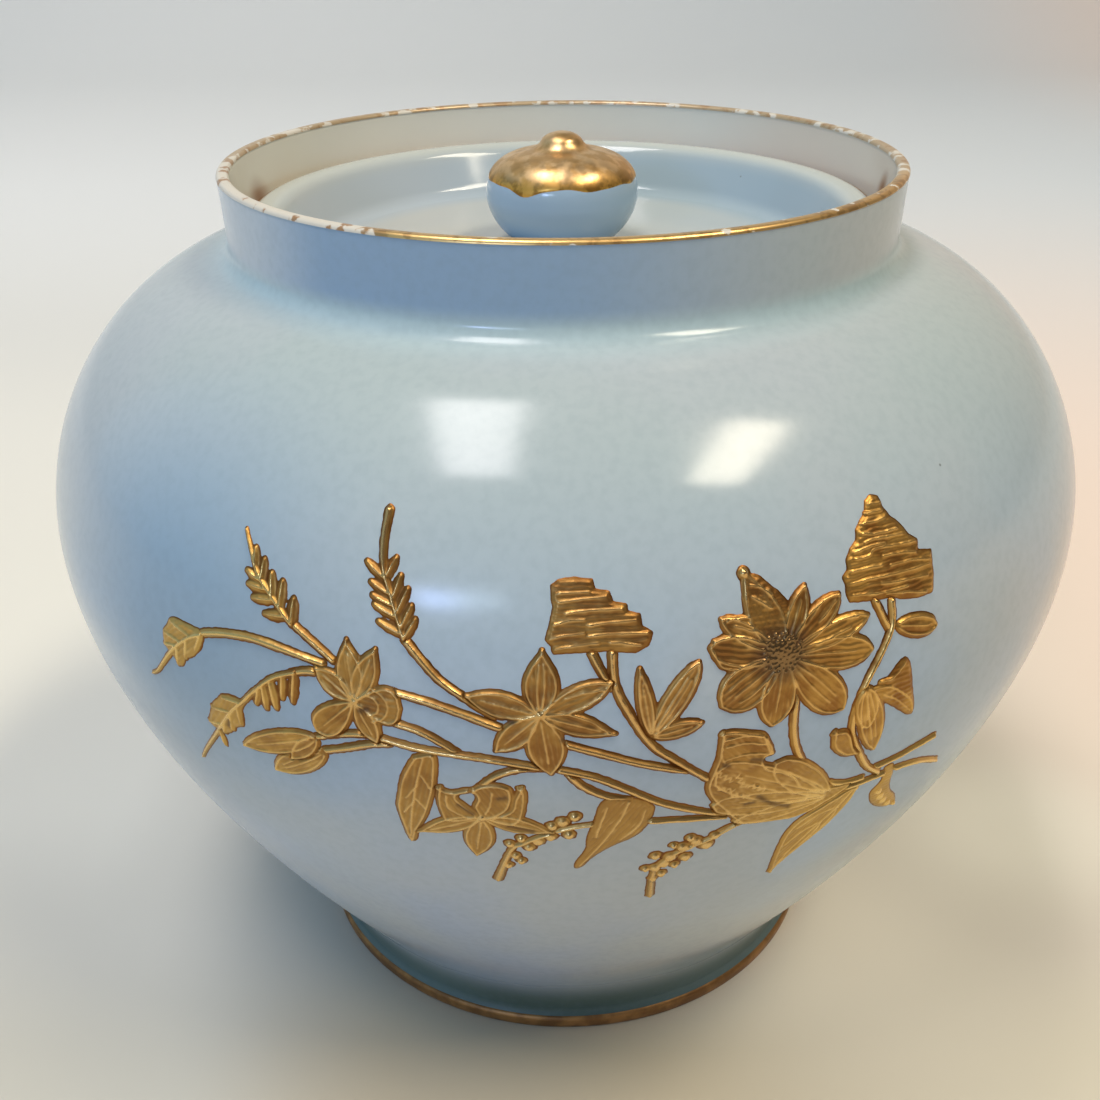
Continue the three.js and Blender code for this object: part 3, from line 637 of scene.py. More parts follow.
# Jar
FOOT_EDGE = FOOT_RADIUS - FOOT_LINE_PROUD
FOOT_WAIST_LEVEL = FOOT_LINE_TOP + FOOT_WAIST_SHARE * (FOOT_HEIGHT - FOOT_LINE_TOP)
FOOT_SIDE, BELLY_SIDE = blended(
    quadratic(
        (FOOT_EDGE, FOOT_LINE_TOP),
        (FOOT_RADIUS - FOOT_WAIST_PULL, FOOT_WAIST_LEVEL),
        (FOOT_JOINT_RADIUS, FOOT_HEIGHT),
        CURVE_STEPS,
    ),
    SIDE,
    FOOT_JOINT_REACH,
)
FOOT_JOINT = BELLY_SIDE[0]
HEEL = quadratic(
    (FOOT_EDGE - FOOT_EDGE_ROUNDING, 0), (FOOT_EDGE, 0), (FOOT_EDGE, FOOT_LINE_TOP), CURVE_STEPS // 4
)
FOOT_OUTER = np.vstack([HEEL, FOOT_SIDE[1:]])
FOOT_JOINT_AHEAD = tangents(np.vstack([FOOT_SIDE[-2:], BELLY_SIDE[1:2]]))[1]


def belly():
    floor = FOOT_HEIGHT + BELLY_FLOOR
    inside = shifted(SIDE, BELLY_WALL)[::-1]
    inside = inside[inside[:, 1] > floor + FLOOR_COVE_RISE]
    inside = inside[inside[:, 1] < SHOULDER_LEVEL - BELLY_WALL / 2]
    mouth = rounded([SIDE[-1], (BELLY_BORE, SHOULDER_LEVEL), inside[0]], [MOUTH_ROUNDING])
    corner = inside[-1] - [FLOOR_COVE_RUN / 3, 0]
    cove_end = (inside[-1][0] - FLOOR_COVE_RUN, floor)
    runs = [
        Run([(0, FOOT_HEIGHT), (FOOT_JOINT_RADIUS / 2, FOOT_HEIGHT), FOOT_JOINT]),
        Run(BELLY_SIDE, first=FOOT_JOINT_AHEAD),
        Run(mouth, 1),
        Run(inside, 1),
        Run(quadratic(inside[-1], (corner[0], floor), cove_end, CURVE_STEPS // 4), 1),
        Run([cove_end, (0, floor)], 1),
    ]
    return turned("belly", runs, [BLUE_GLAZE, CREAM_GLAZE])


def foot():
    tread_outer = tuple(HEEL[0])
    tread_inner = (FOOT_EDGE - FOOT_EDGE_ROUNDING - FOOT_TREAD, 0)
    inner_top = (FOOT_JOINT_RADIUS - FOOT_WALL_TOP, FOOT_HEIGHT)
    inner_pull = (FOOT_RADIUS - FOOT_WAIST_PULL - FOOT_WALL, FOOT_WAIST_LEVEL)
    runs = [
        Run(FOOT_OUTER, last=FOOT_JOINT_AHEAD),
        Run([FOOT_JOINT, inner_top]),
        Run(quadratic(inner_top, inner_pull, tread_inner, CURVE_STEPS // 4)),
        Run([tread_inner, tread_outer], 1),
    ]
    return turned("foot", runs, [BLUE_GLAZE, BARE_PORCELAIN])


def gold_line(name, line, proud):
    """Thin gold along a stretch of a section, rooted a little way under the glaze."""
    face = shifted(line, -proud)
    face[0], face[-1] = line[0], line[-1]
    root = shifted(line, proud)[len(line) // 2]
    return turned(name, [Run(face), Run([face[-1], root, face[0]])], [LINE_GILDING])


def foot_line():
    line = FOOT_OUTER[FOOT_OUTER[:, 1] < FOOT_LINE_TOP + FOOT_LINE_SPREAD]
    return gold_line("foot_gold", line[line[:, 1] > FOOT_LINE_LOW / 2], FOOT_LINE_PROUD)


def fillet_line():
    start = math.pi + math.asin((FILLET_CENTRE_LEVEL - SHOULDER_LEVEL) / COLLAR_FILLET)
    angles = np.linspace(start, math.pi, CURVE_STEPS // 2)
    across = FILLET_CENTRE_RADIUS + COLLAR_FILLET * np.cos(angles)
    return np.column_stack([across, FILLET_CENTRE_LEVEL + COLLAR_FILLET * np.sin(angles)])


LIP_ARCH = rounded(
    [
        (LIP_RADIUS, LIP_TOP - 2 * LIP_ROUNDING),
        (LIP_RADIUS, LIP_TOP),
        (LIP_INNER, LIP_TOP),
        (LIP_INNER, LIP_TOP - 2 * LIP_ROUNDING),
    ],
    [LIP_ROUNDING, LIP_ROUNDING],
)


def collar():
    fillet = fillet_line()
    wall = np.linspace(fillet[-1], LIP_ARCH[0], 5)
    crest = len(LIP_ARCH) // 2
    bore = [(COLLAR_BORE, SEAT_LEVEL), (COLLAR_BORE, SHOULDER_LEVEL)]
    inside = rounded([LIP_ARCH[-1], *bore], [LIP_ROUNDING])
    runs = [
        Run(np.vstack([fillet, wall[1:], LIP_ARCH[1:crest]]), first=SIDE_AHEAD[-1]),
        Run(np.vstack([LIP_ARCH[crest - 1 :], inside[1:]]), 1),
        Run([inside[-1], fillet[0]], 1),
    ]
    return turned("collar", runs, [BLUE_GLAZE, CREAM_GLAZE])


def lip_line():
    under = LIP_ARCH[LIP_ARCH[:, 1] > LIP_TOP - LIP_GOLD_DROP]
    over = shifted(under, -LIP_GOLD_THICKNESS)
    root = shifted(under, LIP_GOLD_THICKNESS)[::-1]
    runs = [Run(over), Run([over[-1], root[0]]), Run(root), Run([root[-1], over[0]])]
    return turned("lip_gold", runs, [LIP_GILDING])


def seat():
    outer = COLLAR_BORE + SEAT_JOINT
    middle = ((SEAT_BORE + outer) / 2, NECK_LEVEL)
    outside = [(outer, NECK_LEVEL), (outer, SEAT_LEVEL)]
    inside = [(SEAT_BORE, SEAT_LEVEL), (SEAT_BORE, NECK_LEVEL)]
    roundings = [SEAT_JOINT, SEAT_JOINT, SEAT_ROUNDING, SEAT_ROUNDING]
    return turned("seat", [Run(rounded([middle, *outside, *inside, middle], roundings))], [CREAM_GLAZE])


# Lid
LID_TOP_LINE = rounded(
    [
        (LID_RADIUS, SEAT_LEVEL + LID_CORNER_ROUNDING),
        (LID_RADIUS, RIM_TOP),
        (DISH_LIP_RADIUS, RIM_TOP),
        (DISH_FLOOR_RADIUS, DISH_FLOOR - DISH_FLOOR_DIP),
        (KNOB_RADIUS, DISH_FLOOR),
        (0, DISH_FLOOR),
    ],
    [LID_EDGE_ROUNDING, LID_CROWN_ROUNDING, DISH_COVE, DISH_COVE],
    steps=14,
)


def lid():
    start = (LID_RADIUS, SEAT_LEVEL + LID_CORNER_ROUNDING)
    under = rounded(
        [
            (0, DISH_UNDERSIDE),
            (DISH_WALL_RADIUS - DISH_UNDERSIDE_RUN, DISH_UNDERSIDE),
            (DISH_WALL_RADIUS, SEAT_LEVEL),
            (LID_RADIUS, SEAT_LEVEL),
            start,
        ],
        [DISH_UNDERSIDE_ROUNDING, LID_CORNER_ROUNDING, LID_CORNER_ROUNDING / 2],
    )
    return turned("lid", [Run(under, 1), Run(LID_TOP_LINE)], [LID_GLAZE, CREAM_GLAZE])


def lid_line():
    return gold_line("lid_gold", LID_TOP_LINE[LID_SHOULDER], LID_LINE_PROUD)


def superellipse(across, high, roundness, angles):
    power = 2 / roundness
    return np.column_stack([across * np.cos(angles) ** power, high * np.sin(angles) ** power])


def knob_top(inset):
    """The knob above its widest level: a dome that runs up into a nipple."""
    radius = KNOB_RADIUS - inset
    nipple = NIPPLE_RADIUS - inset
    end = math.acos((nipple / radius) ** (KNOB_TOP_ROUNDNESS / 2))
    angles = np.linspace(0, end, 2 * CURVE_STEPS)
    dome = superellipse(radius, KNOB_TOP_HEIGHT - inset, KNOB_TOP_ROUNDNESS, angles)
    dome += [0, KNOB_UNDER_HEIGHT]
    base = dome[-1][1]
    tip_height = KNOB_TIP - DISH_FLOOR - inset - base
    tip = superellipse(nipple, tip_height, 2, np.linspace(0, math.pi / 2, CURVE_STEPS)) + [0, base]
    tip[-1][0] = 0
    lower, upper = blended(dome, tip, NIPPLE_REACH)
    return np.vstack([lower, upper[1:]])


def on_lid(points):
    return np.array(points, float) + [0, DISH_FLOOR]


def knob():
    radius = KNOB_RADIUS - KNOB_GLAZE_INSET
    angles = np.linspace(math.pi / 2, 0, CURVE_STEPS // 2)
    under = superellipse(radius - KNOB_STEM_RADIUS, -KNOB_UNDER_HEIGHT, KNOB_UNDER_ROUNDNESS, angles)
    under += [KNOB_STEM_RADIUS, KNOB_UNDER_HEIGHT]
    side = np.vstack([under, knob_top(KNOB_GLAZE_INSET)[1:]])
    return turned("knob", [Run(on_lid([(0, 0), (KNOB_STEM_RADIUS, 0)])), Run(on_lid(side))], [LID_GLAZE])


def gold_edge(around):
    """How far above the knob's widest level its gold starts, which goes up and down."""
    level = KNOB_GOLD_LEVEL
    for depth, place, breadth in KNOB_GOLD_DIPS:
        level -= depth * math.exp(-(((around - place) / breadth) ** 2))
    for height, number, start in KNOB_GOLD_RIPPLES:
        level += height * math.sin(number * around + start)
    return level


def knob_cap():
    """The gold over the knob: a thin cap, thinning to nothing at its wavy lower edge."""
    line = knob_top(0)
    lengths = lengths_along(line)
    ahead = tangents(line)
    rows, steps = CURVE_STEPS, AROUND_STEPS // 2
    shares = np.linspace(0, 1, rows)
    places = []
    for turn in np.arange(steps) * 2 * math.pi / steps:
        around = (turn + math.pi) % (2 * math.pi) - math.pi
        start = gold_edge(around)
        along = start + (lengths[-1] - start) * shares
        point = on_line(line, along)
        rise, run = (np.interp(along, lengths, ahead[:, axis]) for axis in (1, 0))
        out = np.stack([rise, -run], axis=-1)
        thin = np.clip(1 - (along - start) / KNOB_GOLD_EDGE, 0, 1) ** 2
        outer = point - KNOB_GOLD_THIN * thin[:, None] * out
        inner = (point - KNOB_GOLD_ROOT * out)[::-1]
        places.append(np.vstack([outer[:-1], inner[1:]]))
    tips = on_lid([line[-1], line[-1] - [0, KNOB_GOLD_ROOT]])
    return closed_cap("knob_gold", np.array(places), tips)


def closed_cap(name, columns, tips):
    """A mesh of columns that stand round the axis. Each goes up outside and down inside."""
    steps, rows = columns.shape[:2]
    turns = (np.arange(steps) * 2 * math.pi / steps)[:, None]
    radii, levels = columns[:, :, 0], columns[:, :, 1] + DISH_FLOOR
    places = np.stack([radii * np.sin(turns), -radii * np.cos(turns), levels], axis=-1).reshape(-1, 3)
    places = np.vstack([places, [(0, 0, level) for radius, level in tips]])
    outer_tip, inner_tip = len(places) - 2, len(places) - 1
    half = rows // 2
    faces = []
    for j in range(steps):
        here, after = j * rows, (j + 1) % steps * rows
        for row in range(rows - 1):
            if row == half - 1:
                faces.append((here + row, after + row, outer_tip))
                faces.append((after + half, here + half, inner_tip))
            else:
                faces.append((here + row, after + row, after + row + 1, here + row + 1))
        faces.append((here + rows - 1, after + rows - 1, after, here))
    return placed(name, new_mesh(name, places, faces, [KNOB_GILDING]))


# Each piece with its body, its slot and the solid that it stands for
PIECES = (
    (belly, "jar", "blue_glaze", "jar_body"),
    (foot, "jar", "blue_glaze", "foot_ring"),
    (collar, "jar", "blue_glaze", "neck_collar"),
    (seat, "jar", "cream_glaze", "lid_seat"),
    (lip_line, "jar", "gilding", "lip_gilding"),
    (foot_line, "jar", "gilding", "foot_gilding"),
    (lid, "lid", "blue_glaze", "lid_dish"),
    (lid_line, "lid", "gilding", "lid_gilding"),
    (knob, "lid", "blue_glaze", "lid_knob"),
    (knob_cap, "lid", "gilding", "knob_gilding"),
)
for make, *belongings in PIECES:
    settle(make(), *belongings)


# Raised paste, drawn on the unrolled glaze: across goes round the belly, up goes along its side.
# Places and half widths are thousandths of the spray's span, from the middle of the belly's front.
# "petals" grow from the "centre" and "leaves" from the "base": tip, half width, sharpness, ribs.
# "masses" are outlines of low paste, "piped" at the edge, or "stepped" where their corners stay sharp.
# "brush" is the angle of their strokes in degrees. "axis" is a stalk that ends with the half width
# "awn", and "tips" are the tips of the grains on it, with their half width. "beads" and "boss" have a
# place and a radius. "lines" and "squiggles" are thin threads, and "pits" are dark grooves.
SPRAY_SHARES = {
    "star_flower_left": {
        "centre": (-214, 36),
        "petals": [
            (-224, 100, 16, 1.2, 1), (-192, 95, 14, 1.1, 1), (-166, 35, 22, 0.4, 0),
            (-192, -9, 13, 0.8, 1), (-260, -10, 18, 0.5, 1), (-258, 64, 14, 1, 1),
        ],
        "lines": [
            [(-196, 54), (-182, 45), (-178, 34), (-183, 22), (-196, 15)],
            [(-200, 46), (-190, 40), (-188, 33), (-191, 26), (-200, 22)],
        ],
        "beads": [(-214, 36, 5)],
        "pits": [[(-209, 26), (-200, 30)]],
    },
    "star_flower_middle": {
        "centre": (-24, 40),
        "petals": [
            (-22, 107, 18, 1.2, 2), (-98, 57, 15, 1, 1), (-69, -4, 15, 0.9, 1), (-14, -31, 20, 0.9, 1),
            (50, 17, 13, 1.2, 1), (47, 74, 14, 0.9, 0),
        ],
        "lines": [[(40, 67), (20, 64), (0, 58)], [(36, 59), (20, 50)]],
        "beads": [(-24, 40, 6)],
        "pits": [[(-58, 33), (-51, 31)], [(-2, 12), (3, 12)]],
    },
    "star_flower_low": {
        "centre": (-88, -100),
        "petals": [(-12, -121, 14, 1.3, 1), (-100, -172, 17, 1, 1), (-164, -139, 13, 1.3, 1)],
        "masses": [
            [
                (-132, -58), (-118, -63), (-100, -57), (-98, -63), (-112, -72), (-92, -100),
                (-126, -113), (-134, -95), (-135, -75),
            ],
            [
                (-98, -60), (-88, -51), (-70, -48), (-56, -53), (-54, -70), (-62, -90), (-85, -104),
                (-96, -85), (-92, -70),
            ],
            [
                (-46, -50), (-40, -58), (-41, -80), (-47, -104), (-62, -112), (-82, -102), (-58, -86),
                (-53, -68),
            ],
        ],
        "piped": True,
        "brush": -60,
        "lines": [[(-124, -70), (-122, -90), (-100, -104)], [(-75, -60), (-78, -80), (-84, -94)]],
        "beads": [(-88, -100, 6)],
        "pits": [
            [(-108, -73), (-100, -70)], [(-69, -69), (-62, -67)], [(-112, -83), (-98, -95)],
            [(-60, -112), (-35, -119)],
        ],
    },
    "daisy": {
        "centre": (224, 82),
        "petals": [
            (186, 174, 20, 1.3, 0), (159, 128, 12, 0.6, 0), (146, 101, 18, 0.6, 0),
            (157, 38, 25, 0.6, 3), (212, 6, 21, 0.7, 1), (294, 6, 22, 0.6, 2), (328, 66, 19, 0.6, 1),
            (325, 103, 14, 0.7, 0), (292, 132, 15, 0.7, 0), (253, 148, 13, 0.8, 1),
        ],
        "masses": [
            [(185, 166), (200, 166), (212, 156), (226, 142), (233, 128), (225, 100), (190, 110)],
        ],
        "lines": [
            [(192, 158), (205, 153), (215, 146)], [(193, 146), (202, 140), (213, 132)],
            [(187, 163), (186, 145), (189, 124)], [(164, 125), (175, 127), (188, 126)],
            [(172, 120), (182, 116), (194, 111)], [(150, 107), (175, 108), (203, 97)],
            [(148, 99), (158, 80), (180, 75), (203, 78)], [(280, 105), (296, 106), (312, 104)],
            [(260, 86), (280, 91), (302, 95)], [(255, 114), (262, 121), (272, 130)],
            [(265, 109), (275, 117), (287, 127)],
        ],
        "beads": [(187, 170, 6)],
        "boss": (222, 85, 24),
    },
    "ruffled_flower": {
        "masses": [
            [
                (157, 7), (170, 8), (190, 3), (200, 0), (207, -5), (213, -20), (218, -32), (208, -36),
                (215, -50), (235, -60), (250, -72), (262, -90), (290, -105), (330, -115), (300, -135),
                (270, -147), (240, -145), (200, -137), (185, -125), (170, -105), (155, -85), (147, -65),
                (150, -45), (155, -25),
            ],
        ],
        "piped": True,
        "brush": -42,
        "base": (302, -121),
        "leaves": [
            (222, -46, 21, 0.45, 1), (186, -128, 14, 0.5, 0), (156, -43, 26, 0.3, 2),
            (157, -94, 20, 0.4, 2),
        ],
        "lines": [
            [(161, -3), (182, -1), (203, -6)], [(164, -12), (184, -10), (206, -16)],
            [(163, -29), (186, -25), (214, -30)], [(160, 0), (159, -18), (164, -34)],
            [(207, -8), (213, -20), (217, -31)],
        ],
        "squiggles": [(166, -52), (168, -70), (184, -62), (186, -84), (204, -76)],
        "pits": [
            [(208, -92), (226, -108), (250, -122)], [(195, -101), (204, -100)],
            [(163, -34), (168, -37)], [(194, -34), (212, -38)],
        ],
    },
    "stepped_head_left": {
        "masses": [
            [
                (-12, 170), (-5, 175), (10, 177), (28, 175), (30, 165), (45, 163), (48, 153), (62, 150),
                (63, 143), (75, 140), (77, 128), (87, 122), (83, 110), (70, 104), (40, 107), (-10, 105),
                (-12, 112), (-18, 118), (-15, 128), (-12, 140), (-10, 150), (-12, 158),
            ],
        ],
        "stepped": True,
        "lines": [
            [(-5, 163), (25, 164)], [(-6, 154), (20, 157), (42, 159)], [(1, 143), (20, 146), (58, 147)],
            [(-11, 132), (3, 136), (20, 137)], [(24, 131), (45, 134), (72, 135)],
            [(-15, 118), (0, 122), (20, 124)], [(24, 121), (45, 123), (83, 122)],
            [(-10, 108), (10, 112), (34, 114)], [(45, 114), (60, 113), (76, 110)],
        ],
    },
    "stepped_head_right": {
        "masses": [
            [
                (345, 205), (350, 216), (358, 220), (367, 217), (369, 205), (375, 195), (385, 185),
                (390, 178), (395, 170), (405, 163), (402, 152), (422, 147), (420, 135), (419, 122),
                (415, 105), (395, 105), (370, 110), (360, 115), (335, 117), (305, 122), (302, 130),
                (303, 140), (300, 147), (308, 153), (308, 163), (315, 172), (325, 180), (328, 190),
                (335, 197),
            ],
        ],
        "stepped": True,
        "lines": [
            [(351, 212), (367, 211)], [(344, 204), (366, 203)], [(335, 195), (352, 194), (368, 195)],
            [(333, 185), (350, 182), (380, 181)], [(333, 176), (350, 177), (385, 174)],
            [(318, 169), (340, 171), (360, 170)],
            [(318, 162), (335, 162), (345, 167), (375, 165), (400, 163)],
            [(352, 158), (375, 156), (398, 152)], [(310, 151), (330, 150), (350, 149)],
            [(360, 147), (390, 145), (415, 140)], [(310, 139), (335, 139), (360, 137), (415, 135)],
            [(345, 131), (370, 128), (410, 124)], [(308, 127), (330, 124), (345, 122), (380, 120)],
            [(350, 119), (375, 115), (405, 107)],
        ],
    },
    "bud_upper": {"base": (-262, -20), "leaves": [(-366, -65, 16, 0.75, 1), (-300, -60, 12, 0.8, 0)]},
    "bud_lower": {"base": (-254, -36), "leaves": [(-328, -87, 17, 0.7, 2)]},
    "leaf_long": {
        "masses": [
            [
                (-155, -20), (-170, -50), (-178, -80), (-182, -100), (-180, -130), (-177, -158),
                (-170, -158), (-162, -135), (-150, -110), (-140, -80), (-133, -50), (-132, -15),
            ],
        ],
        "piped": True,
        "brush": 75,
        "lines": [
            [(-144, -20), (-155, -60), (-164, -100), (-173, -148)], [(-154, -60), (-169, -82)],
            [(-160, -85), (-174, -106)], [(-148, -45), (-140, -62)], [(-158, -80), (-148, -96)],
        ],
    },
    "leaf_middle": {
        "masses": [
            [
                (50, -68), (38, -75), (32, -100), (25, -130), (23, -155), (13, -180), (12, -193),
                (18, -190), (30, -170), (50, -150), (78, -130), (90, -105), (92, -85), (75, -72),
            ],
        ],
        "brush": 60,
        "lines": [
            [(66, -74), (58, -100), (45, -130), (30, -160), (16, -186)],
            [(44, -80), (38, -104), (33, -130)], [(84, -88), (78, -112), (60, -136)],
        ],
    },
    "leaf_right": {
        "masses": [
            [
                (345, -125), (340, -150), (325, -180), (300, -215), (285, -235), (272, -260),
                (268, -275), (262, -240), (260, -200), (263, -175), (275, -155), (300, -140),
                (330, -125),
            ],
        ],
        "piped": True,
        "brush": 60,
        "lines": [
            [(336, -130), (318, -160), (296, -190), (278, -225), (270, -262)],
            [(318, -152), (295, -158), (274, -174)], [(304, -174), (284, -184), (268, -205)],
            [(324, -150), (322, -168), (312, -188)], [(308, -174), (304, -194), (290, -216)],
        ],
    },
    "leaf_round": {"base": (360, 83), "leaves": [(417, 67, 13, 0.5, 1)]},
    "leaf_small": {
        "masses": [
            [
                (286, -22), (302, -24), (311, -34), (318, -52), (327, -66), (310, -64), (297, -55),
                (288, -42),
            ],
        ],
        "piped": True,
        "brush": -50,
    },
    "trefoil_middle": {
        "base": (86, 12),
        "leaves": [(74, 86, 9, 0.8, 1), (134, 88, 13, 0.6, 2), (137, 22, 10, 0.7, 1)],
    },
    "trefoil_right": {
        "base": (322, 24),
        "leaves": [(329, -29, 16, 0.6, 1), (347, -67, 17, 0.7, 2)],
        "masses": [[(322, 20), (345, 22), (374, 42), (387, 0), (394, -35), (362, -12)]],
        "lines": [
            [(330, 18), (355, 14), (385, -12), (392, -30)], [(340, 24), (358, 26), (372, 38)],
            [(345, 8), (366, -6), (388, -28)],
        ],
    },
    "berry_twig": {
        "masses": [
            [
                (380, -112), (384, -138), (375, -154), (386, -178), (406, -198), (430, -213),
                (442, -211), (430, -190), (412, -170), (402, -150), (398, -130), (391, -112),
            ],
        ],
        "beads": [(385, -155, 7), (394, -170, 8), (405, -184, 8), (420, -198, 7), (437, -209, 5)],
    },
    "ear_upright_left": {
        "axis": [(-288, 104), (-303, 117), (-320, 132), (-335, 146), (-350, 168), (-363, 188)],
        "tips": [
            (-345, 172, 5.5), (-331, 163, 5.5), (-319, 151, 6), (-304, 145, 6.5), (-288, 130, 7),
            (-351, 147, 5.5), (-347, 134, 6), (-339, 121, 6), (-322, 108, 6),
        ],
    },
    "ear_upright_right": {
        "axis": [(-162, 110), (-168, 125), (-178, 150), (-188, 172), (-193, 200), (-193, 234)],
        "awn": 4.5,
        "tips": [
            (-209, 181, 5), (-202, 162, 5), (-199, 149, 5), (-196, 140, 5), (-190, 124, 5),
            (-177, 188, 5.5), (-170, 171, 5.5), (-161, 159, 5.5), (-156, 143, 5.5), (-151, 130, 5.5),
        ],
    },
    "ear_drooping_upper": {
        "axis": [(-408, 62), (-430, 50), (-455, 28), (-475, 5), (-490, -12), (-503, -21)],
        "masses": [
            [
                (-410, 66), (-435, 67), (-455, 66), (-463, 55), (-470, 45), (-468, 30), (-455, 20),
                (-448, 12), (-440, 15), (-435, 25), (-425, 30), (-415, 40), (-410, 55),
            ],
        ],
        "brush": 40,
        "tips": [
            (-456, 63, 5), (-468, 46, 5), (-469, 31, 5.5), (-417, 41, 6), (-434, 26, 6),
            (-448, 13, 5.5),
        ],
    },
    "ear_drooping_lower": {
        "axis": [
            (-283, 53), (-310, 40), (-335, 18), (-352, 0), (-372, -20), (-395, -50), (-415, -75),
            (-440, -105), (-460, -130),
        ],
        "masses": [
            [
                (-350, 0), (-380, -3), (-392, -12), (-400, -20), (-410, -40), (-415, -52), (-403, -58),
                (-385, -55), (-372, -42), (-360, -35), (-358, -15),
            ],
        ],
        "brush": 55,
        "tips": [
            (-287, 18, 6.5), (-300, 18, 5), (-309, 4, 7), (-322, 0, 6.5), (-335, 2, 6), (-384, -6, 5.5),
            (-403, -26, 6), (-414, -50, 6), (-362, -35, 5.5), (-378, -48, 6), (-394, -60, 5.5),
            (-399, -81, 4),
        ],
        "pits": [[(-379, -36), (-383, -44)], [(-396, -56), (-394, -62)]],
    },
    "catkin_left": {
        "axis": [(30, -108), (0, -115), (-25, -128), (-45, -142), (-60, -157), (-80, -223)],
        "awn": 5.5,
        "beads": [
            (10, -95, 7), (-3, -104, 8), (-14, -111, 7), (4, -126, 7), (-16, -129, 7), (-30, -138, 8),
            (-40, -150, 7), (-48, -134, 6), (-61, -145, 6), (-50, -178, 6), (-56, -168, 6),
            (-65, -188, 6),
        ],
    },
    "catkin_right": {
        "axis": [(190, -135), (165, -152), (140, -165), (120, -180), (104, -210), (106, -272)],
        "awn": 5,
        "beads": [
            (168, -150, 7), (160, -166, 9), (146, -155, 8), (139, -147, 6), (132, -164, 8),
            (121, -158, 5), (138, -186, 8), (120, -181, 9), (102, -176, 7), (127, -200, 6),
            (114, -194, 8), (104, -202, 8), (93, -202, 6), (113, -217, 7), (104, -227, 6),
        ],
    },
}

# The stems, laid last, so that each runs in under what lies on it
STEM_SHARES = {
    "stem_head_left": [(47, 104), (50, 70), (66, 35), (86, 2), (110, -20), (155, -58)],
    "stem_head_left_fork": [(27, 104), (36, 86), (46, 68)],
    "stem_head_right": [
        (357, 110), (355, 85), (340, 58), (322, 30), (311, 0), (311, -30), (325, -60), (345, -92),
        (368, -113),
    ],
    "stem_head_right_fork": [(335, 118), (343, 98), (352, 80)],
    "stem_daisy": [(238, 35), (237, 0), (244, -32), (262, -65), (288, -94), (318, -110), (345, -112)],
    "stem_main": [
        (488, -157), (460, -141), (430, -128), (395, -121), (355, -121), (300, -122), (250, -130),
    ],
    "stem_cut": [(360, -101), (390, -100), (420, -96), (450, -94)],
    "stem_buds": [(-262, -19), (-225, -6), (-195, -3), (-150, -10), (-90, -14), (-45, -20), (-12, -26)],
    "stem_bud_lower": [(-256, -36), (-230, -26), (-200, -14), (-180, -10)],
    "stem_ear_upright_left": [(-238, 76), (-262, 91), (-292, 108)],
    "stem_ear_upright_right": [(-70, 37), (-98, 54), (-125, 72), (-145, 92), (-161, 109)],
    "stem_ear_drooping_upper": [(-250, 70), (-290, 75), (-335, 78), (-380, 72), (-417, 60)],
    "stem_ear_drooping_lower": [(-245, 60), (-268, 58), (-287, 51)],
    "stem_left_upper": [(-178, 53), (-140, 47), (-100, 36), (-60, 22)],
    "stem_left_lower": [(-175, 18), (-145, 11), (-120, -2), (-106, -12)],
    "stem_star_flower_low": [(-20, -24), (-45, -26), (-70, -37), (-88, -55)],
    "stem_middle": [(0, 6), (40, -8), (80, -23), (125, -37)],
    "stem_low": [(-6, -26), (30, -37), (65, -57), (100, -80), (140, -99), (175, -113)],
    "stem_leaf_middle": [(4, -32), (18, -49), (42, -64), (68, -72)],
    "stem_low_right": [(175, -117), (130, -112), (85, -108)],
    "stem_catkin_right": [(200, -133), (180, -140), (165, -150)],
}

# The corners of the whole drawing, and the awn of a stalk without its own, in thousandths too
THOUSANDTH = SPRAY_SPAN / 1000
CHART_LOW, CHART_HIGH = (-560, -320), (540, 270)
AWN_THOUSANDTHS = 1.2

# Half widths, heights and sizes of what is drawn, in millimetres, with its shares and counts
STEM_HALF, STEM_RISE, STEM_SWELL_SHARE, STEM_SWELL_SIZE = 0.42, 0.46, 0.12, 5
PIPE_HALF, PIPE_RISE, PIPE_INSET = 0.19, 0.42, 0.34
LINE_HALF, LINE_RISE = 0.17, 0.42
AXIS_HALF, AXIS_RISE, AXIS_STEPS = 0.3, 0.46, 80
GRAIN_SHARE, GRAIN_BED_SHARE, GRAIN_RISE, GRAIN_SETBACK = 0.5, 0.9, 0.36, 2
GRAIN_FORM = np.sin(math.pi * np.linspace(0.14, 0.9, 9)) ** 0.7
BEAD_HALF, BEAD_RISE = 0.2, 0.56
BOSS_RISE, BOSS_BEADS, BOSS_TURN, BOSS_SPREAD_SHARE = 0.42, 70, 2.4, 0.95
BOSS_SHADE, BOSS_SHADE_EDGE = 0.75, 1.6
FILL_RISE, FILL_EDGE = 0.2, 0.3
BRUSH_PITCH, BRUSH_RISE, BRUSH_PATCH_SIZE = 0.62, 0.045, 1.7
BRUSH_BEND, BRUSH_BEND_SIZE = 1.6, 2.6
SKIRT, SKIRT_REACH, SKIRT_RISE = 0.2, 0.3, 0.09
PIT_HALF, PIT_DEPTH, PIT_DARKNESS = 0.34, 0.08, 0.7
SQUIGGLE_LENGTH, SQUIGGLE_HALF, SQUIGGLE_WAVES, SQUIGGLE_STEPS = 2.4, 0.32, 3, 24
SQUIGGLE_LEAN, SQUIGGLE_SWING, SQUIGGLE_THREAD_HALF = -40, 25, 0.8 * LINE_HALF
PETAL_LEAN, LEAF_LEAN, POINT_HALF, BLADE_STEPS = 1, 0.65, 0.15, 20
RIB_SPACING_SHARE, RIB_END_SHARE = 0.25, 0.7
STEPS_PER_POINT, STEM_STEPS_PER_POINT = 8, 12
SWELL_SHARE, SWELL_SIZE = 0.14, 3.1
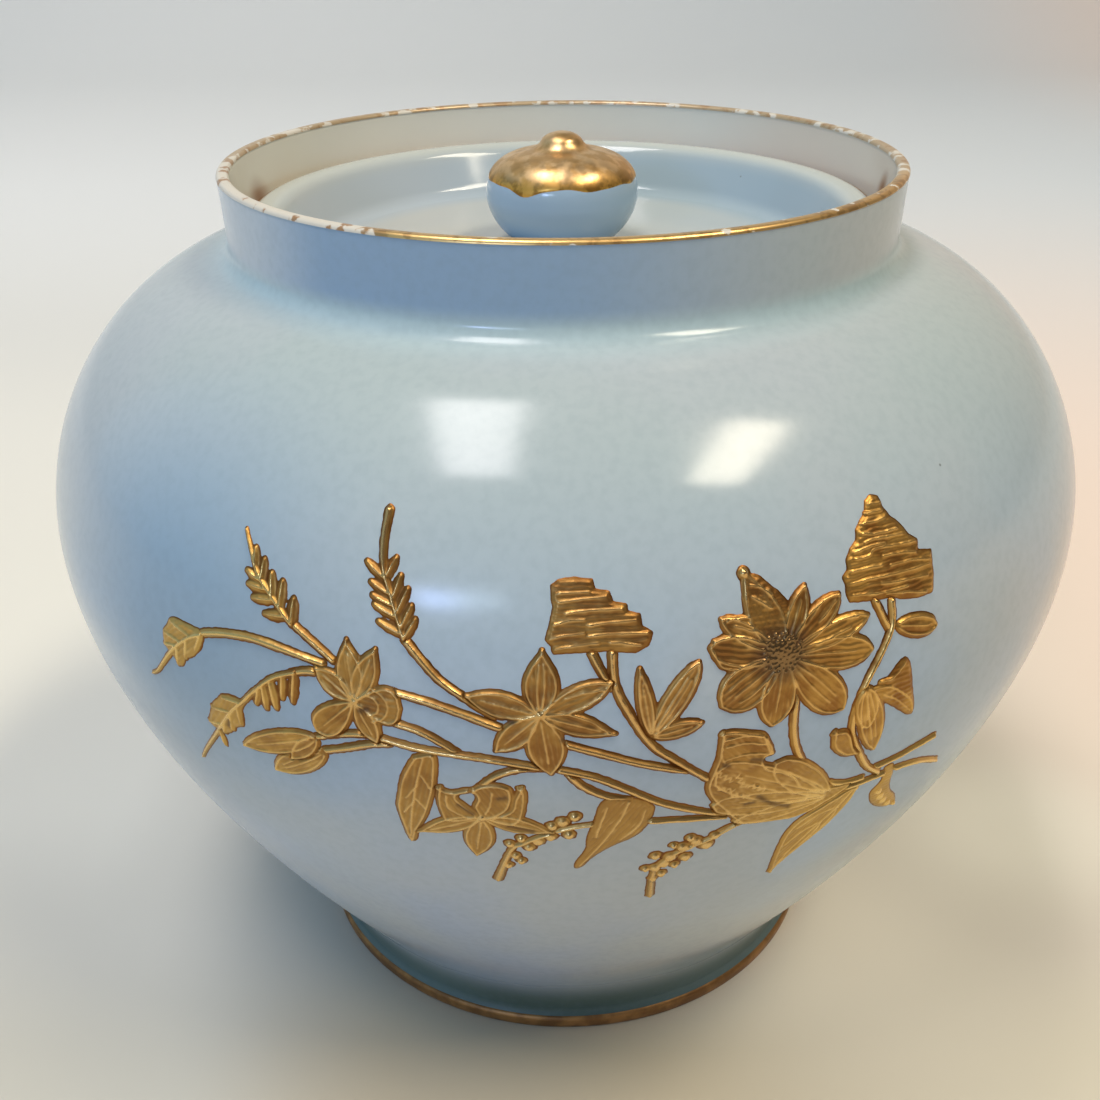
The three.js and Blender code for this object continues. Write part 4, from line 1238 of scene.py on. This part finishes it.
ROUGH_RISE, ROUGH_SIZE = 0.025, 0.9
DIP_SHARE = 2.5


def spread(points):
    return np.array(points, float) * THOUSANDTH


def spline(points, steps):
    """A smooth line through some points, evenly spaced."""
    guides = np.vstack([points[:1], points, points[-1:]])
    t = np.linspace(0, 1, 16, endpoint=False)[:, None]
    fine = []
    for a, b, c, d in zip(guides, guides[1:], guides[2:], guides[3:]):
        start, end = (c - a) / 2, (d - b) / 2
        bend = (2 * b - 2 * c + start + end) * t**3 + (3 * c - 3 * b - 2 * start - end) * t**2
        fine.append(bend + start * t + b)
    return evenly(np.vstack([*fine, guides[-1:]]), steps)


def waves(x, y, size, seed):
    """A smooth unevenness from -1 to 1, whose bumps are about as wide as the size."""
    total = 0
    # Five waves in turned directions, with paces that don't repeat
    for i in range(5):
        turn = seed + 2.4 * i
        pace = 2 * math.pi / (size * (0.8 + 0.23 * i))
        total = total + np.sin(pace * (x * math.cos(turn) + y * math.sin(turn)) + 1.7 * turn)
    return total / 5


def away_from(x, y, a, b):
    """How far some places are from the line between two points, and where along it they lie."""
    along = b - a
    share = np.clip(((x - a[0]) * along[0] + (y - a[1]) * along[1]) / max(along @ along, ON_AXIS), 0, 1)
    return np.hypot(x - a[0] - share * along[0], y - a[1] - share * along[1]), share


class Chart:
    """A stretch of the unrolled glaze, with the heights that lie on it."""

    def __init__(self, low, high):
        self.first = np.floor(np.array(low) / CELL).astype(int)
        shape = np.ceil(np.array(high) / CELL).astype(int) - self.first + 1
        self.across, self.up = (CELL * (self.first[i] + np.arange(shape[i])) for i in (0, 1))
        self.heights = np.full(shape, -1.0)
        self.dark = np.zeros(shape)

    def part(self, low, high):
        """The stretch between two corners: its slices, and the places of its points."""
        start = np.clip(np.floor(np.array(low) / CELL).astype(int) - self.first, 0, None)
        end = np.ceil(np.array(high) / CELL).astype(int) - self.first + 1
        window = (slice(start[0], end[0]), slice(start[1], end[1]))
        x, y = np.meshgrid(self.across[window[0]], self.up[window[1]], indexing="ij")
        return window, x, y

    def raise_to(self, window, *heights):
        self.heights[window] = np.max([self.heights[window], *heights], axis=0)


class Mark:
    """Something drawn along a line, that reaches a little way beside it."""

    def __init__(self, line, reach):
        self.line = np.array(line)
        self.reach = reach

    def corners(self):
        return self.line.min(0) - self.reach, self.line.max(0) + self.reach

    def stretches(self, chart):
        """The stretch of chart round each straight of the line, and its points' distance from it."""
        for a, b in zip(self.line, self.line[1:]):
            window, x, y = chart.part(np.minimum(a, b) - self.reach, np.maximum(a, b) + self.reach)
            yield window, *away_from(x, y, a, b)


class Thread(Mark):
    """A rounded thread of paste along a line, with thin gold a little way out beside it."""

    def __init__(self, line, halves, rise):
        self.halves = np.broadcast_to(halves, len(line))
        self.rise = rise
        super().__init__(line, self.halves.max() + SKIRT_REACH)

    def lay(self, chart):
        ends = zip(self.halves, self.halves[1:])
        for (window, away, share), (start, end) in zip(self.stretches(chart), ends):
            half = start + share * (end - start)
            height = self.rise * (1 - (away / half) ** 2)
            chart.raise_to(window, height, SKIRT_RISE * (1 - (away / (half + SKIRT)) ** 2))


class Pit(Mark):
    """A dark groove pressed into what lies there already."""

    def __init__(self, line):
        super().__init__(spread(line), 2 * PIT_HALF)

    def lay(self, chart):
        for window, away, share in self.stretches(chart):
            dark = PIT_DARKNESS * np.exp(-((away / PIT_HALF) ** 2))
            chart.dark[window] = np.maximum(chart.dark[window], dark)


class Fill(Mark):
    """Low paste inside an outline, brushed along a direction, with thin gold round it."""

    def __init__(self, outline, brush):
        super().__init__(outline, SKIRT_REACH)
        self.brush = brush

    def lay(self, chart):
        window, x, y = chart.part(*self.corners())
        inside = np.zeros(x.shape, bool)
        away = np.full(x.shape, np.inf)
        for a, b in zip(self.line, np.roll(self.line, -1, axis=0)):
            away = np.minimum(away, away_from(x, y, a, b)[0])
            if a[1] != b[1]:
                crossing = a[0] + (y - a[1]) * (b[0] - a[0]) / (b[1] - a[1])
                inside ^= ((a[1] > y) != (b[1] > y)) & (x < crossing)
        beside = x * self.brush[1] - y * self.brush[0]
        bend = BRUSH_BEND * waves(x, y, BRUSH_BEND_SIZE, seed=0.4)
        strokes = np.sin(2 * math.pi * beside / BRUSH_PITCH + bend)
        level = FILL_RISE + BRUSH_RISE * (strokes + waves(x, y, BRUSH_PATCH_SIZE, seed=2.0))
        height = np.where(inside, level * np.minimum(away / FILL_EDGE, 1), -1)
        chart.raise_to(window, height, SKIRT_RISE * (1 - np.where(inside, 0, away) / SKIRT))


def bead(place, half=BEAD_HALF, rise=BEAD_RISE):
    place = np.array(place)
    return Thread([place, place + [CELL / 4, 0]], half, rise)


def heading(vector):
    return vector / np.hypot(*vector)


def sideways_of(line):
    ahead = tangents(line)
    return np.column_stack([-ahead[:, 1], ahead[:, 0]])


def blade(base, tip, half, sharpness, ribs, lean):
    """A petal or leaf: low paste with a piped edge, and ribs side by side."""
    axis = np.linspace(base, tip, BLADE_STEPS + 1)
    shares = np.linspace(0, 1, BLADE_STEPS + 1)
    swell = shares**lean * (1 - shares) ** sharpness
    widths = POINT_HALF + (half - POINT_HALF) * swell / swell.max()
    sideways = sideways_of(axis)
    inner = (widths - PIPE_INSET).clip(0)[:, None] * sideways
    edge = widths[:, None] * sideways
    marks = [Fill(np.vstack([axis + edge, (axis - edge)[::-1]]), heading(tip - base))]
    marks += [Thread((axis + side * inner)[1:], PIPE_HALF, PIPE_RISE) for side in (1, -1)]
    for side in np.linspace(-RIB_SPACING_SHARE, RIB_SPACING_SHARE, ribs) * (ribs - 1):
        line = (axis + side * inner)[2:-4]
        halves = np.linspace(LINE_HALF, RIB_END_SHARE * LINE_HALF, len(line))
        marks.append(Thread(line, halves, LINE_RISE))
    return marks


def blades(base, rows, lean):
    marks = []
    for across, up, half, sharpness, ribs in rows:
        marks += blade(spread(base), spread((across, up)), half * THOUSANDTH, sharpness, ribs, lean)
    return marks


def mass(corners, brush, piped, stepped):
    outline = spread(corners)
    if not stepped:
        outline = spline(np.vstack([outline, outline[:1]]), STEPS_PER_POINT * len(outline))
    marks = [Fill(outline, brush)]
    if piped:
        ahead = np.roll(outline, -1, axis=0) - outline
        turning = np.sum(outline[:-1, 0] * ahead[:-1, 1] - outline[:-1, 1] * ahead[:-1, 0])
        inner = outline + math.copysign(PIPE_INSET, turning) * sideways_of(outline)
        marks.append(Thread(inner, PIPE_HALF, PIPE_RISE))
    return marks


def grained(axis, awn, tips):
    """An axis that ends in an awn, with plump grains that lean forward to their tips."""
    axis = spline(spread(axis), AXIS_STEPS)
    along = lengths_along(axis)
    halves = np.interp(along / along[-1], [0, 0.5, 1], [AXIS_HALF, AXIS_HALF, awn * THOUSANDTH])
    marks = [Thread(axis, halves, AXIS_RISE)]
    for across, up, half in tips:
        tip = spread((across, up))
        beside = along[np.argmin(np.hypot(*(axis - tip).T))]
        line = np.linspace(on_line(axis, max(beside - GRAIN_SETBACK, 0)), tip, len(GRAIN_FORM))
        plump = half * THOUSANDTH * GRAIN_FORM
        marks.append(Thread(line, GRAIN_BED_SHARE * plump, FILL_RISE))
        marks.append(Thread(line, GRAIN_SHARE * plump, GRAIN_RISE))
        marks.append(Thread(line[1:-2], LINE_HALF, AXIS_RISE))
    return marks


def squiggle(place, number):
    """A short wavy thread, turned in its own way by its number."""
    shares = np.linspace(0, 1, SQUIGGLE_STEPS + 1)
    wave = SQUIGGLE_HALF * np.sin(2 * math.pi * SQUIGGLE_WAVES * shares + number)
    turn = math.radians(SQUIGGLE_LEAN + SQUIGGLE_SWING * math.sin(2.3 * number))
    ahead = np.array([math.cos(turn), math.sin(turn)])
    beside = np.array([-math.sin(turn), math.cos(turn)])
    line = SQUIGGLE_LENGTH * (shares - 0.5)[:, None] * ahead + wave[:, None] * beside
    return Thread(spread(place) + line, SQUIGGLE_THREAD_HALF, LINE_RISE)


def stippled(across, up, radius):
    """The middle of a daisy: beads on a spiral."""
    centre = spread((across, up))
    marks = [bead(centre, radius * THOUSANDTH, BOSS_RISE)]
    for i in range(BOSS_BEADS):
        away = BOSS_SPREAD_SHARE * radius * THOUSANDTH * math.sqrt((i + 0.5) / BOSS_BEADS)
        turn = BOSS_TURN * i
        marks.append(bead(centre + away * np.array([math.cos(turn), math.sin(turn)])))
    return marks


def drawn(
    masses=(), piped=False, stepped=False, brush=0, centre=None, petals=(), base=None, leaves=(),
    axis=(), awn=AWN_THOUSANDTHS, tips=(), beads=(), lines=(), squiggles=(), boss=(), pits=(),
):
    """The marks of a piece, from what the spray's shares say."""
    angle = math.radians(brush)
    marks = []
    for corners in masses:
        marks += mass(corners, (math.cos(angle), math.sin(angle)), piped, stepped)
    marks += blades(centre, petals, PETAL_LEAN) + blades(base, leaves, LEAF_LEAN)
    if axis:
        marks += grained(axis, awn, tips)
    marks += [bead(spread(place), radius * THOUSANDTH) for *place, radius in beads]
    for line in lines:
        marks.append(Thread(spline(spread(line), STEPS_PER_POINT * len(line)), LINE_HALF, LINE_RISE))
    marks += [squiggle(place, number) for number, place in enumerate(squiggles)]
    if boss:
        marks += stippled(*boss)
    return marks + [Pit(line) for line in pits]


def stem(points):
    line = spline(spread(points), STEM_STEPS_PER_POINT * len(points))
    swell = STEM_SWELL_SHARE * waves(line[:, 0], line[:, 1], STEM_SWELL_SIZE, seed=1.1)
    return [Thread(line, STEM_HALF * (1 + swell), STEM_RISE)]


def blurred(heights):
    padded = np.pad(heights, 1, mode="edge")
    rows = (padded[:-2] + 2 * padded[1:-1] + padded[2:]) / 4
    return (rows[:, :-2] + 2 * rows[:, 1:-1] + rows[:, 2:]) / 4


SIDE_ALONG = lengths_along(SIDE) - lengths_along(SIDE_LOWER)[-1]


def on_glaze(across, up, height):
    """Bends the chart on to the belly: the place of each point, in millimetres."""
    out, rise = (np.interp(up, SIDE_ALONG, SIDE_AHEAD[:, axis]) for axis in (1, 0))
    radius = np.interp(up, SIDE_ALONG, SIDE[:, 0]) + height * out
    level = np.interp(up, SIDE_ALONG, SIDE[:, 1]) - height * rise
    around = across / BELLY_RADIUS
    return np.stack([radius * np.sin(around), -radius * np.cos(around), level], axis=-1)


def touching(cells):
    """The cells, and those beside them, but never those at the chart's rim."""
    wide = np.pad(cells, 1)
    near = wide[:-2, 1:-1] | wide[2:, 1:-1] | wide[1:-1, :-2] | wide[1:-1, 2:] | cells
    near[[0, -1], :] = False
    near[:, [0, -1]] = False
    return near


def paste_mesh(name, chart):
    """A closed mesh of a chart's heights, rooted a little way under the glaze."""
    top = np.clip(chart.heights, -SINK, HIGHEST_PASTE)
    raised = top > 0
    cells = touching(raised[:-1, :-1] | raised[1:, :-1] | raised[:-1, 1:] | raised[1:, 1:])
    used = np.zeros(top.shape, bool)
    for i in (0, 1):
        for j in (0, 1):
            used[i : i + cells.shape[0], j : j + cells.shape[1]] |= cells
    count = used.sum()
    number = np.full(top.shape, -1)
    number[used] = np.arange(count)
    x, y = np.meshgrid(chart.across, chart.up, indexing="ij")
    levels = (top[used], np.full(count, -ROOT_DEPTH))
    places = np.vstack([on_glaze(x[used], y[used], level) for level in levels])
    i, j = np.nonzero(cells)
    a, b, c, d = number[i, j], number[i + 1, j], number[i + 1, j + 1], number[i, j + 1]
    faces = [np.column_stack([a, b, c, d]), np.column_stack([d, c, b, a]) + count]
    around = np.pad(cells, 1)
    for (di, dj), first, second in (((0, -1), a, b), ((1, 0), b, c), ((0, 1), c, d), ((-1, 0), d, a)):
        bare = ~around[i + 1 + di, j + 1 + dj]
        first, second = first[bare], second[bare]
        faces.append(np.column_stack([second, first, first + count, second + count]))
    mesh = new_mesh(name, places, np.vstack(faces).tolist(), [PASTE_GILDING])
    relief = (top[used] / HIGHEST_PASTE).clip(0)
    for label, values in (("relief", relief), ("tarnish", chart.dark[used])):
        layer = mesh.attributes.new(label, "FLOAT", "POINT")
        layer.data.foreach_set("value", np.concatenate([values, np.zeros(count)]).astype(np.float32))
    return placed(name, mesh)


def lay_spray():
    """Lays each piece in turn. A later one dips under those that lie there already."""
    pieces = {name: drawn(**shares) for name, shares in SPRAY_SHARES.items()}
    pieces |= {name: stem(points) for name, points in STEM_SHARES.items()}
    whole = Chart(spread(CHART_LOW), spread(CHART_HIGH))
    for name, marks in pieces.items():
        lows, highs = zip(*[mark.corners() for mark in marks])
        low = np.min(lows, axis=0) - 2 * CELL
        high = np.max(highs, axis=0) + 2 * CELL
        chart = Chart(low, high)
        window, x, y = whole.part(low, high)
        for mark in marks:
            mark.lay(chart)
        uneven = 1 + SWELL_SHARE * waves(x, y, SWELL_SIZE, seed=0.9)
        rough = ROUGH_RISE * waves(x, y, ROUGH_SIZE, seed=4.2)
        heights = blurred((chart.heights * uneven + rough - PIT_DEPTH * chart.dark).clip(-2 * SINK))
        laid = whole.heights[window]
        chart.heights = heights - DIP_SHARE * laid.clip(0)
        whole.heights[window] = np.maximum(laid, heights)
        # Painted shade over the daisy's boss, carried with the dark grooves.
        if "boss" in SPRAY_SHARES.get(name, {}):
            across, up, radius = spread(SPRAY_SHARES[name]["boss"])
            middle = (BOSS_SHADE_EDGE - np.hypot(x - across, y - up) / radius).clip(0, BOSS_SHADE)
            chart.dark = np.maximum(chart.dark, middle)
        settle(paste_mesh(name + "_paste", chart), "jar", "raised_paste", name)


lay_spray()


# Camera, fitted to the photograph
CAMERA_LENS = 41.46
CAMERA_SENSOR = 36
CAMERA_NEAREST = 10 * MM
CAMERA_PLACE = Vector((0, -182.48, 160.49)) * MM
CAMERA_PITCH = math.radians(28.196)
CAMERA_ROLL = math.radians(0.6215)
CAMERA_YAW = math.radians(-0.7101)


def camera():
    level = math.cos(CAMERA_PITCH)
    ahead, aside = level * math.cos(CAMERA_YAW), level * math.sin(CAMERA_YAW)
    forward = Vector((aside, ahead, -math.sin(CAMERA_PITCH)))
    level_right = Vector((math.cos(CAMERA_YAW), -math.sin(CAMERA_YAW), 0))
    level_up = level_right.cross(forward)
    right = level_right * math.cos(CAMERA_ROLL) - level_up * math.sin(CAMERA_ROLL)
    up = level_right * math.sin(CAMERA_ROLL) + level_up * math.cos(CAMERA_ROLL)
    data = bpy.data.cameras.new("camera")
    data.lens = CAMERA_LENS
    data.sensor_width = CAMERA_SENSOR
    data.clip_start = CAMERA_NEAREST
    made = placed("camera", data)
    turned_so = Matrix((right, up, -forward)).transposed().to_4x4()
    made.matrix_world = Matrix.Translation(CAMERA_PLACE) @ turned_so
    bpy.context.scene.camera = made


camera()


# Light: a dim room and its windows, which the glaze mirrors. From here on lengths are in metres.
def window(name, place, size, radiance, colour, turn):
    """A bright panel, which faces down before it is turned."""
    data = bpy.data.lights.new(name, "AREA")
    data.shape = "RECTANGLE"
    data.size, data.size_y = size
    data.energy = radiance * math.pi * size[0] * size[1]
    data.color = colour
    made = placed(name, data)
    made.location = place
    made.rotation_euler = [math.radians(angle) for angle in turn]


# Each window's name, place, size, radiance, colour and turn in degrees
WINDOWS = (
    ("left_window", (-0.36, -0.21, 1.6), (0.36, 0.98), 13, (1, 0.95, 0.94), (0, 0, -8)),
    ("right_window", (0.83, -0.39, 1.6), (0.36, 0.8), 20.5, (1, 0.885, 0.69), (0, 0, 0)),
    ("far_window", (-0.62, -1.3, 0.52), (0.2, 0.12), 34, (0.42, 0.56, 1), (75, 0, -25)),
    ("far_window_end", (-0.4, -1.3, 0.53), (0.21, 0.1), 14, (0.6, 0.78, 1), (75, 0, -17)),
)
for one in WINDOWS:
    window(*one)

ROOM_COLOUR = (0.1, 0.1, 0.1, 1)
GLOW_COLOUR = (0.31, 0.47, 0.62, 1)


def room():
    """A dim room around the windows, with a cool glow from its left side."""
    world = bpy.data.worlds.new("room")
    world.use_nodes = True
    nodes, links = world.node_tree.nodes, world.node_tree.links
    place = nodes.new("ShaderNodeTexCoord")
    parts = nodes.new("ShaderNodeSeparateXYZ")
    links.new(place.outputs["Generated"], parts.inputs[0])
    leftwards = nodes.new("ShaderNodeMath")
    leftwards.operation = "MULTIPLY"
    leftwards.use_clamp = True
    leftwards.inputs[1].default_value = -1
    links.new(parts.outputs["X"], leftwards.inputs[0])
    mixed = nodes.new("ShaderNodeMix")
    mixed.data_type = "RGBA"
    links.new(leftwards.outputs[0], mixed.inputs["Factor"])
    mixed.inputs[MIX_FIRST_COLOUR].default_value = ROOM_COLOUR
    mixed.inputs[MIX_SECOND_COLOUR].default_value = GLOW_COLOUR
    links.new(mixed.outputs[MIX_COLOUR], nodes["Background"].inputs["Color"])
    bpy.context.scene.world = world


room()


# Floor and backdrop
SWEEP_HALF_WIDTH, SWEEP_FRONT, SWEEP_BEND, SWEEP_RADIUS, SWEEP_HEIGHT = 2.5, -1.5, 1.0, 0.5, 2.2
SWEEP_ROUGHNESS = 0.9


def sweep_paint():
    """The floor and the wall behind, with painted light and shade on both: warm light to the right and
    far right, pale patches that lighten the jar's shadow, a darker, warmer strip before the jar, and a
    wall lighter to the left. Edges are in millimetres.
    """
    paint = Paint("sweep_paint", rgb(214, 212, 201))
    x, y = paint.x, paint.y
    rightwards, backwards = (x, -100, 250), (y, 0, 600)
    before_jar = (y, -20, -50), (y, -160, -90)
    before_jar_right, before_jar_left = (x, 0, 70), (x, -25, -60)
    left_of_jar = (y, -25, 15), (y, 330, 180), (x, -66, -88)
    right_of_jar = (x, 60, 180), (y, -50, 60)
    far_right = (x, 300, 620), (y, 200, 900)
    wall_rightwards, far_right_share = (x, -500, 500), 0.6
    near_glint, far_glint = ((46, -26, 0), 24, 20), ((82, 5, 0), 18, 14)
    front = paint.mix(paint.within(before_jar_right), rgb(214, 200, 172), rgb(216, 208, 186))
    front = paint.mix(paint.within(before_jar_left), front, rgb(207, 204, 190))
    wall = paint.mix(paint.within(wall_rightwards), rgb(250, 252, 250), rgb(220, 226, 228))
    paint.coat(paint.within(rightwards), rgb(220, 207, 186))
    paint.coat(paint.within(*before_jar), front)
    paint.coat(paint.within(*left_of_jar), rgb(231, 229, 217))
    paint.coat(paint.within(*right_of_jar), rgb(244, 220, 200))
    paint.coat(paint.spots(near_glint), rgb(242, 234, 216))
    paint.coat(paint.spots(far_glint), rgb(246, 240, 222))
    paint.coat(paint.within(backwards), wall)
    paint.coat(paint.both(paint.within(*far_right), far_right_share), rgb(255, 226, 204))
    return paint.finished(roughness=SWEEP_ROUGHNESS)


def sweep():
    line = [(SWEEP_FRONT, 0), (SWEEP_BEND, 0)]
    for angle in np.linspace(0, math.pi / 2, 17)[1:]:
        line.append((SWEEP_BEND + SWEEP_RADIUS * math.sin(angle), SWEEP_RADIUS * (1 - math.cos(angle))))
    line.append((SWEEP_BEND + SWEEP_RADIUS, SWEEP_HEIGHT))
    places = [(side * SWEEP_HALF_WIDTH / MM, y / MM, z / MM) for y, z in line for side in (-1, 1)]
    faces = [(2 * i, 2 * i + 1, 2 * i + 3, 2 * i + 2) for i in range(len(line) - 1)]
    placed("sweep", new_mesh("sweep", places, faces, [sweep_paint()]))


sweep()

bpy.context.scene.view_settings.view_transform = "Standard"
